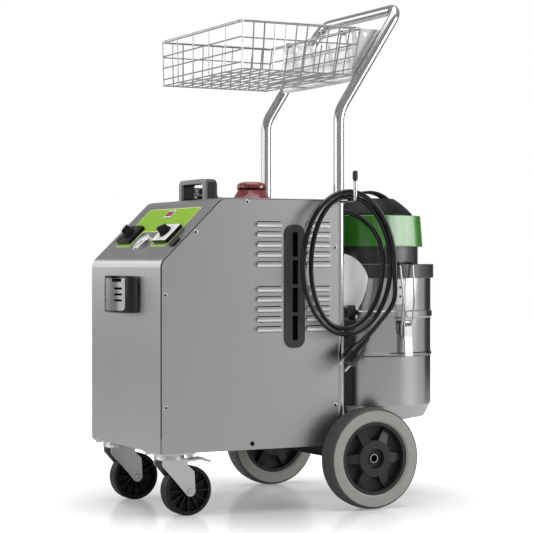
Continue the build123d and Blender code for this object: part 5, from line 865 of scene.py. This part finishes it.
marks = bmesh.new()
for mark in range(DIAL_MARKS + 1):
    length = LONG_MARK if mark % 2 == 0 else SHORT_MARK
    centre = on_slope(0, GAUGE_UP, DIAL_OFF + DIAL_THICK, dial_turn(mark / DIAL_MARKS))
    block(marks, centre @ Matrix.Translation((MARK_END - length / 2, 0, 0)), (length, *mm(0.5, 0.1)))
for number in range(0, 11, 2):
    text = bpy.data.curves.new("dial_number", "FONT")
    text.body = str(number)
    text.size = NUMBER_SIZE
    text.align_x = "CENTER"
    text.align_y = "CENTER"
    holder = put("dial_number", text)
    bpy.context.view_layer.update()
    depsgraph = bpy.context.evaluated_depsgraph_get()
    letters = bpy.data.meshes.new_from_object(holder.evaluated_get(depsgraph))
    turn = dial_turn(number / 10)
    up = GAUGE_UP + NUMBER_RING * sin(turn)
    letters.transform(on_slope(NUMBER_RING * cos(turn), up, NUMBER_OFF))
    marks.from_mesh(letters)
    bpy.data.objects.remove(holder)
    bpy.data.curves.remove(text)
    bpy.data.meshes.remove(letters)
finish_piece("gauge_marks", marks, ink_grey)

# %% Coloured arcs of the dial
ARC_SECTION = [(16.2, 0), (17.4, 0), (17.4, 0.06), (16.2, 0.06)]


def dial_arc(name, first, last, finish):
    """Thin arc on the dial between two shares of its sweep."""
    arc = bmesh.new()
    seat = on_slope(0, GAUGE_UP, DIAL_OFF + DIAL_THICK, dial_turn(first))
    sweep = dial_turn(last) - dial_turn(first)
    turned(arc, seat, [mm(*pair) for pair in ARC_SECTION], 24, sweep)
    finish_piece(name, arc, finish)


dial_arc("gauge_green_arc", 0.3, 0.7, ink_green)
dial_arc("gauge_red_arc", 0.84, 1, ink_red)

# %% [markdown]
# ## Switch plates, ticks and pointers
# The right switch has a white face plate with a ring of black ticks, the left one white ticks on
# black, and each bar knob a short pale pointer. The plate is thin enough to lie under the knob's disc.
# It starts as a square with its corners bevelled and a round hole, filled between the two loops.

# %% Face plate with a hole
SWITCH_X = 95 * MM
SWITCH_UP = 79 * MM
BOX_TOP = 9 * MM
FACE_SIZE = mm(71, 47)
FACE_CORNER = 4 * MM
FACE_HOLE = 4 * MM
FACE_THICK = 0.2 * MM


def pull_up(shape, place, high):
    """Make a flat shape into a plate, by pulling its faces along place's local z."""
    lifted = bmesh.ops.extrude_face_region(shape, geom=shape.faces[:])
    verts = [item for item in lifted["geom"] if isinstance(item, bmesh.types.BMVert)]
    bmesh.ops.translate(shape, verts=verts, vec=place.to_3x3() @ Vector((0, 0, high)))


face = bmesh.new()
face_seat = on_slope(SWITCH_X, SWITCH_UP, BOX_TOP)
outline = face_seat @ Matrix.Diagonal((*FACE_SIZE, 1, 1)) @ Matrix.Rotation(pi / 4, 4, "Z")
square = bmesh.ops.create_circle(face, cap_ends=False, radius=0.5**0.5, segments=4, matrix=outline)
soften(face, square["verts"], FACE_CORNER, 4, "VERTICES")
bmesh.ops.create_circle(face, cap_ends=False, radius=FACE_HOLE, segments=32, matrix=face_seat)
bmesh.ops.triangle_fill(face, edges=face.edges[:], use_beauty=True)
pull_up(face, face_seat, FACE_THICK)
finish_piece("heat_face", face, white_moulding)

# %% Ticks round the knobs and pointers on them
TICK_RING = 18.5 * MM
TICK_SIZE = mm(2.6, 0.9, 0.1)
POINTER_OUT = 6.5 * MM
POINTER_OFF = 26 * MM
POINTER_SIZE = mm(8, 1.4, 0.6)


def tick_ring(name, x, first, last, count, base, finish):
    """Ring of ticks round a knob, from the first to the last angle."""
    ring = bmesh.new()
    for index in range(count):
        turn = radians(first + (last - first) * index / (count - 1))
        seat = on_slope(x, SWITCH_UP, base, turn) @ Matrix.Translation((TICK_RING, 0, 0))
        block(ring, seat, TICK_SIZE)
    finish_piece(name, ring, finish)


def knob_pointer(name, x, turn, body):
    """Pale line at one end of a knob's bar."""
    line = bmesh.new()
    centre = on_slope(x, SWITCH_UP, POINTER_OFF, radians(turn))
    block(line, centre @ Matrix.Translation((POINTER_OUT, 0, 0)), POINTER_SIZE, 0.2 * MM)
    finish_piece(name, line, white_moulding, body)


tick_ring("heat_ticks", SWITCH_X, 225, -45, 10, BOX_TOP + FACE_THICK, ink_black)
tick_ring("selector_ticks", -SWITCH_X, 180, 60, 3, BOX_TOP, white_moulding)
knob_pointer("selector_pointer", -SWITCH_X, 120, "selector")
knob_pointer("heat_pointer", SWITCH_X, 35, "heat")

# %% [markdown]
# ## Frame round the lamp
# The red lamp sits in a white frame. The frame is a square face, inset by its width, with the
# middle taken out and the ring that is left pulled up.

# %% Lamp frame
LAMP_PLACE = mm(5, 142, 1)
LAMP_FRAME = mm(36, 20)
LAMP_BORDER = 2.8 * MM
LAMP_HIGH = 2.4 * MM

ring = bmesh.new()
lamp_seat = on_slope(*LAMP_PLACE)
outline = lamp_seat @ Matrix.Diagonal((*LAMP_FRAME, 1, 1))
bmesh.ops.create_grid(ring, x_segments=1, y_segments=1, size=0.5, matrix=outline)
middle = ring.faces[:]
even = {"use_boundary": True, "use_even_offset": True}
bmesh.ops.inset_region(ring, faces=middle, thickness=LAMP_BORDER, **even)
bmesh.ops.delete(ring, geom=middle, context="FACES")
pull_up(ring, lamp_seat, LAMP_HIGH)
soften(ring, ring.edges[:], 0.3 * MM)
finish_piece("lamp_frame", ring, white_moulding)

# %% [markdown]
# ## Painted shade behind the slots and in the notch
# Behind the slots of the grille strips is a black sheet, and behind the flap's slots a black
# lining: both are painted shade for the dark inside, so the slots read as deep black lines. The
# flap's finger notch is a black strip on its top edge, painted shade in the notch. The flap is
# bowed, so its lining and notch are profiles spun part of a turn round the bow's axis.

# %% Painted shade behind the strips
STRIP_MIDDLE = Vector((0, -47, 457)) * MM
SLOT_SHADE_SIZE = mm(25, 238, 0.4)
SLOT_SHADE_X = 182.2 * MM

# Painted shade: a black sheet behind each strip's slots for the dark inside.
slot_shade = bmesh.new()
upright = turn_to(Vector((0, 1, 0)), UPWARD, ACROSS)
for side in (-1, 1):
    seat = Matrix.Translation(STRIP_MIDDLE + Vector((side * SLOT_SHADE_X, 0, 0)))
    block(slot_shade, seat @ upright @ Matrix.Translation((0, 0, -SLOT_SHADE_SIZE[2] / 2)), SLOT_SHADE_SIZE)
finish_piece("strip_slot_shade", slot_shade, black_and_painted_shade)

# %% Painted shade in the flap's slots and notch
BOW_CENTRE = Vector((0, -265.4, 0)) * MM
BOW_RADIUS = 113.55 * MM


def bowed_strip(name, depth, thick, low, high, first, last):
    """Black part of a ring this deep under the flap's face, between two places across, as painted shade."""
    strip = bmesh.new()
    inner = BOW_RADIUS - depth
    outer = inner + thick
    section = [(inner, low), (inner, high), (outer, high), (outer, low)]
    start = Matrix.Translation(BOW_CENTRE) @ Matrix.Rotation(radians(-90) + first / inner, 4, "Z")
    turned(strip, start, section, 16, (last - first) / inner)
    finish_piece(name, strip, black_and_painted_shade, "flap")


bowed_strip("flap_slot_shade", *mm(3.4, 0.3, 419, 461, -50, 50))
bowed_strip("flap_notch_shade", *mm(0.2, 0.4, 466, 473, 16, 46))

# %% [markdown]
# ## Behind the seams
# A side panel ends a little short of the bent front sheet, and daylight would show through the slot
# from one side to the other. A black foam strip lies behind each seam, as on many cabinets, and
# shuts out that light; its black is also painted shade for the dark inside of the seam. It is a
# block for each straight run of the sheet: up the front, up the slope and along the top.

# %% Seam strips
STRIP_X = 178.5 * MM
STRIP_WIDE = 5 * MM
STRIP_DEEP = 6 * MM
STRIP_LOW = 7.6 * MM
SEAM_RUNS = [
    (Vector((0, -344, 150)) * MM, Vector((0, -344, 495)) * MM),
    (SLOPE_FOOT + UP_SLOPE * 8 * MM, SLOPE_FOOT + UP_SLOPE * 179 * MM),
    (Vector((0, -203, 635)) * MM, Vector((0, 50, 635)) * MM),
]

seam_strips = bmesh.new()
for start, end in SEAM_RUNS:
    along = (end - start).normalized()
    outward = ACROSS.cross(along)
    turn = turn_to(ACROSS, along, outward)
    size = (STRIP_WIDE, (end - start).length, STRIP_DEEP)
    for side in (-1, 1):
        spot = (start + end) / 2 + Vector((side * STRIP_X, 0, 0)) - outward * STRIP_LOW
        block(seam_strips, Matrix.Translation(spot) @ turn, size, 1 * MM)
finish_piece("seam_strips", seam_strips, black_and_painted_shade)

# %% [markdown]
# ## Rounded corners of the steam socket
# The housing round the flap is moulded with wide corners as seen from the front. A copy of its mesh is
# clipped there by planes that touch the corner's arc one after another. Each cut leaves an
# open rim, which is filled before the next cut.

# %% Housing with rounded corners
SOCKET_CORNER = 18 * MM
CORNER_CUTS = 6

socket_low, socket_high = (Vector(corner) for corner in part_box("socket_housing"))
surround = bmesh.new()
surround.from_mesh(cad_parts["socket_housing"].data)
bmesh.ops.remove_doubles(surround, verts=surround.verts, dist=SAME_PLACE)
for side, edge_x in ((-1, socket_low.x), (1, socket_high.x)):
    for end, edge_z in ((-1, socket_low.z), (1, socket_high.z)):
        centre = Vector((edge_x - side * SOCKET_CORNER, 0, edge_z - end * SOCKET_CORNER))
        for cut in range(CORNER_CUTS):
            angle = radians(90) * (cut + 0.5) / CORNER_CUTS
            outward = Vector((side * cos(angle), 0, end * sin(angle)))
            clipped = bmesh.ops.bisect_plane(
                surround,
                geom=surround.verts[:] + surround.edges[:] + surround.faces[:],
                plane_co=centre + outward * SOCKET_CORNER,
                plane_no=outward,
                clear_outer=True,
            )
            rim = [part for part in clipped["geom_cut"] if isinstance(part, bmesh.types.BMEdge)]
            bmesh.ops.holes_fill(surround, edges=rim)
print("socket_surround:", sum(edge.is_boundary for edge in surround.edges), "open edges")
socket_surround = finish_piece("socket_surround", surround, housing_moulding)
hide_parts("socket_housing")

# %% [markdown]
# ## Caps on the top
# The red cap and its waisted collar stand in for solids that are a little too wide. A black ring
# under the cap's rim is painted shade, which shows as a dark line for the gap there. The loop handle
# stands on a thin bar, and behind it is a second, black cap on a wider collar, seen through the
# loop. The caps are round, so a profile of radii and heights is spun once round.

# %% Loop's bar, red cap and black cap
LOOP_BASE_PLACE = Vector((0, -177, 635)) * MM
LOOP_BASE_SIZE = mm(103.4, 28, 3.5)
FILLER_PLACE = Vector((0, -52, 660)) * MM
CAP_GAP_SHADE = [(27.8, 0.4), (30.6, 0.4), (30.6, 2.9), (27.8, 0.4)]
LID = [(0, -17.6), (23.6, -17.6), (23.6, 0.4), (28.2, 0.4), (31.2, 3), (31.2, 8.5)]
LID += [(29.8, 11.5), (26, 14.2), (19, 16), (0, 16.2)]
COLLAR = [(24, -76), (29, -76), (29, -25), (45, -25), (39, -17.5), (33, -8.5)]
COLLAR += [(28.5, 0), (24, 0), (24, -76)]
TANK_CAP_PLACE = Vector((-96.5, -117.4, 635)) * MM
TANK_CAP = [(0, 0.2), (28.5, 0.2), (29.5, 1.2), (29.5, 13.5), (28, 15.5), (23.5, 15.5)]
TANK_CAP += [(23.5, 19.5), (25, 19.5), (26, 20.5), (26, 28.5), (23.5, 31), (0, 31.5)]


def round_piece(name, place, section, finish, body="machine"):
    """Piece spun from a section of radii and heights in millimetres."""
    shape = bmesh.new()
    turned(shape, Matrix.Translation(place), [mm(*pair) for pair in section], 48)
    return finish_piece(name, shape, finish, body)


loop_base = bmesh.new()
block(loop_base, Matrix.Translation(LOOP_BASE_PLACE), LOOP_BASE_SIZE, 1 * MM)
finish_piece("loop_base", loop_base, black_and_painted_shade)
filler_collar = round_piece("filler_collar", FILLER_PLACE, COLLAR, cap_moulding)
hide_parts("filler_neck")
filler_lid = round_piece("filler_lid", FILLER_PLACE, LID, cap_moulding, "cap")
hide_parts("filler_cap")
# Painted shade: a black ring under the lid for the dark gap there.
round_piece("filler_gap_shade", FILLER_PLACE, CAP_GAP_SHADE, black_and_painted_shade, "cap")
round_piece("tank_cap", TANK_CAP_PLACE, TANK_CAP, tank_cap_moulding)

# %% [markdown]
# ## Ribs on the plug's boot
# The boot of a mains plug is ribbed so that it bends evenly. Each rib is a short ring spun round the
# plug's own direction, a little larger than the tapered boot under it.

# %% Plug ribs
BOOT_LENGTH = 30 * MM
BOOT_START_RADIUS = 6.5 * MM
BOOT_END_RADIUS = 10 * MM
BOOT_RIBS = 5
RIB_SECTION = [(-1, -1.3), (0.4, -1.0), (0.9, 0), (0.4, 1.0), (-1, 1.3)]

ribs = bmesh.new()
for rib in range(BOOT_RIBS):
    along = BOOT_LENGTH * (rib + 0.6) / BOOT_RIBS
    radius = BOOT_START_RADIUS + (BOOT_END_RADIUS - BOOT_START_RADIUS) * along / BOOT_LENGTH
    seat = facing(PLUG_START + PLUG_WAY * along, PLUG_WAY)
    turned(ribs, seat, [(radius + out * MM, level * MM) for out, level in RIB_SECTION], 28)
plug_ribs = finish_piece("plug_ribs", ribs, cable_rubber)

# %% [markdown]
# ## Bolts, nuts and rivets
# Castor axles end in hexagon nuts, the cradle and the basket's bracket are bolted to the tubes, and
# dark rivets hold the guide plates to the drum. A hexagon nut is a prism of six sides with its
# rim bevelled, and a rivet is a spun dome.

# %% Hexagon nuts and rivets
NUT_RADIUS = 6 * MM
STUB_SECTION = [(0.5, 1), (0.5, 1.25), (0.4, 1.35), (0, 1.35)]
RIVET_SECTION = [(1, -0.2), (1, 0.15), (0.75, 0.42), (0, 0.55)]
CASTOR_NUT_HIGH = 4.2 * MM
CASTOR_X = 134 * MM
CASTOR_AXLE = Vector((0, -267, 50)) * MM
NUT_OUT = 22 * MM


def hex_nut(shape, place, way, high):
    """Hexagon nut with a chamfered outer face and a stub of thread."""
    seat = facing(Vector(place), way)
    middle = seat @ Matrix.Translation((0, 0, high / 2))
    made = prism(shape, middle, NUT_RADIUS, NUT_RADIUS, high, 6)
    top = [v for v in made["verts"] if (seat.inverted() @ v.co).z > high / 2]
    rim = [e for e in shape.edges if all(v in top for v in e.verts)]
    soften(shape, rim, NUT_RADIUS * 0.12, 1)
    turned(shape, seat, [(NUT_RADIUS * out, high * level) for out, level in STUB_SECTION], 14)


def rivet(shape, place, way, radius):
    """Low domed rivet."""
    seat = facing(Vector(place), way)
    turned(shape, seat, [(radius * out, radius * level) for out, level in RIVET_SECTION], 14)


for name, side in (("left", -1), ("right", 1)):
    nuts = bmesh.new()
    for way in (-1, 1):
        end = CASTOR_AXLE + Vector((side * CASTOR_X + way * NUT_OUT, 0, 0))
        hex_nut(nuts, end, (way, 0, 0), CASTOR_NUT_HIGH)
    finish_piece(f"castor_nuts_{name}", nuts, zinc_plate, f"fork_{name}")

# %% Bolts of the tubes and rivets of the drum
TUBE_X = 165 * MM
TUBE_BACK = 77.9 * MM
TUBE_BOLT_RADIUS = 3.2 * MM
TUBE_BOLT_LEVELS = mm(652, 668)
CRADLE_BACK = 81.1 * MM
CRADLE_NUT_HIGH = 4 * MM
CRADLE_NUTS = [(-157, 404), (-157, 507), (157, 507)]
DRUM_CENTRE = Vector((0, 236, 0)) * MM
GUIDE_ANGLES = (-1, 179)
GUIDE_FACE = 138.8 * MM
GUIDE_LEVELS = mm(433, 452)
GUIDE_RIVET_RADIUS = 2.6 * MM


def round_drum(angle):
    """Level direction out from the drum's middle."""
    return Vector((cos(radians(angle)), sin(radians(angle)), 0))


bolts = bmesh.new()
for x, z in CRADLE_NUTS:
    hex_nut(bolts, (x * MM, CRADLE_BACK, z * MM), (0, 1, 0), CRADLE_NUT_HIGH)
for side in (-1, 1):
    for level in TUBE_BOLT_LEVELS:
        rivet(bolts, (side * TUBE_X, TUBE_BACK, level), (0, 1, 0), TUBE_BOLT_RADIUS)
finish_piece("tube_bolts", bolts, zinc_plate)

rivets = bmesh.new()
for angle in GUIDE_ANGLES:
    way = round_drum(angle)
    for level in GUIDE_LEVELS:
        spot = DRUM_CENTRE + way * GUIDE_FACE + UPWARD * level
        rivet(rivets, spot, way, GUIDE_RIVET_RADIUS)
finish_piece("guide_rivets", rivets, ink_black)

# %% [markdown]
# ## Heads of the clamp pins
# Each clamp lever turns on a pin with a dark pressed head on both sides, and the bail's two legs
# end over black seats on the clamp ring. These small dark spots are what makes a clamp read as one.

# %% Pin heads and bail seats
CLAMPS = (("right", 3), ("left", 183))
CLAMP_REACH = 146 * MM
CLAMP_PIVOT_Z = 378 * MM
LEVER_HALF = 9.5 * MM
PIN_HEAD_RADIUS = 4.2 * MM
BAIL_HALF = 16.5 * MM
RING_TOP = 502 * MM
SEAT_REACH = 126 * MM
SEAT_SIZE = mm(7, 8, 6)

seats = bmesh.new()
for name, angle in CLAMPS:
    out = round_drum(angle)
    along = Vector((-out.y, out.x, 0))
    turn = turn_to(out, along, UPWARD)
    pivot = DRUM_CENTRE + out * CLAMP_REACH + UPWARD * CLAMP_PIVOT_Z
    heads = bmesh.new()
    for way in (-1, 1):
        rivet(heads, pivot + along * (way * LEVER_HALF), along * way, PIN_HEAD_RADIUS)
        spot = DRUM_CENTRE + out * SEAT_REACH + along * (way * BAIL_HALF) + UPWARD * RING_TOP
        block(seats, Matrix.Translation(spot) @ turn, SEAT_SIZE, 0.8 * MM)
    finish_piece(f"clamp_pin_heads_{name}", heads, ink_black)
finish_piece("bail_seats", seats, black_moulding)
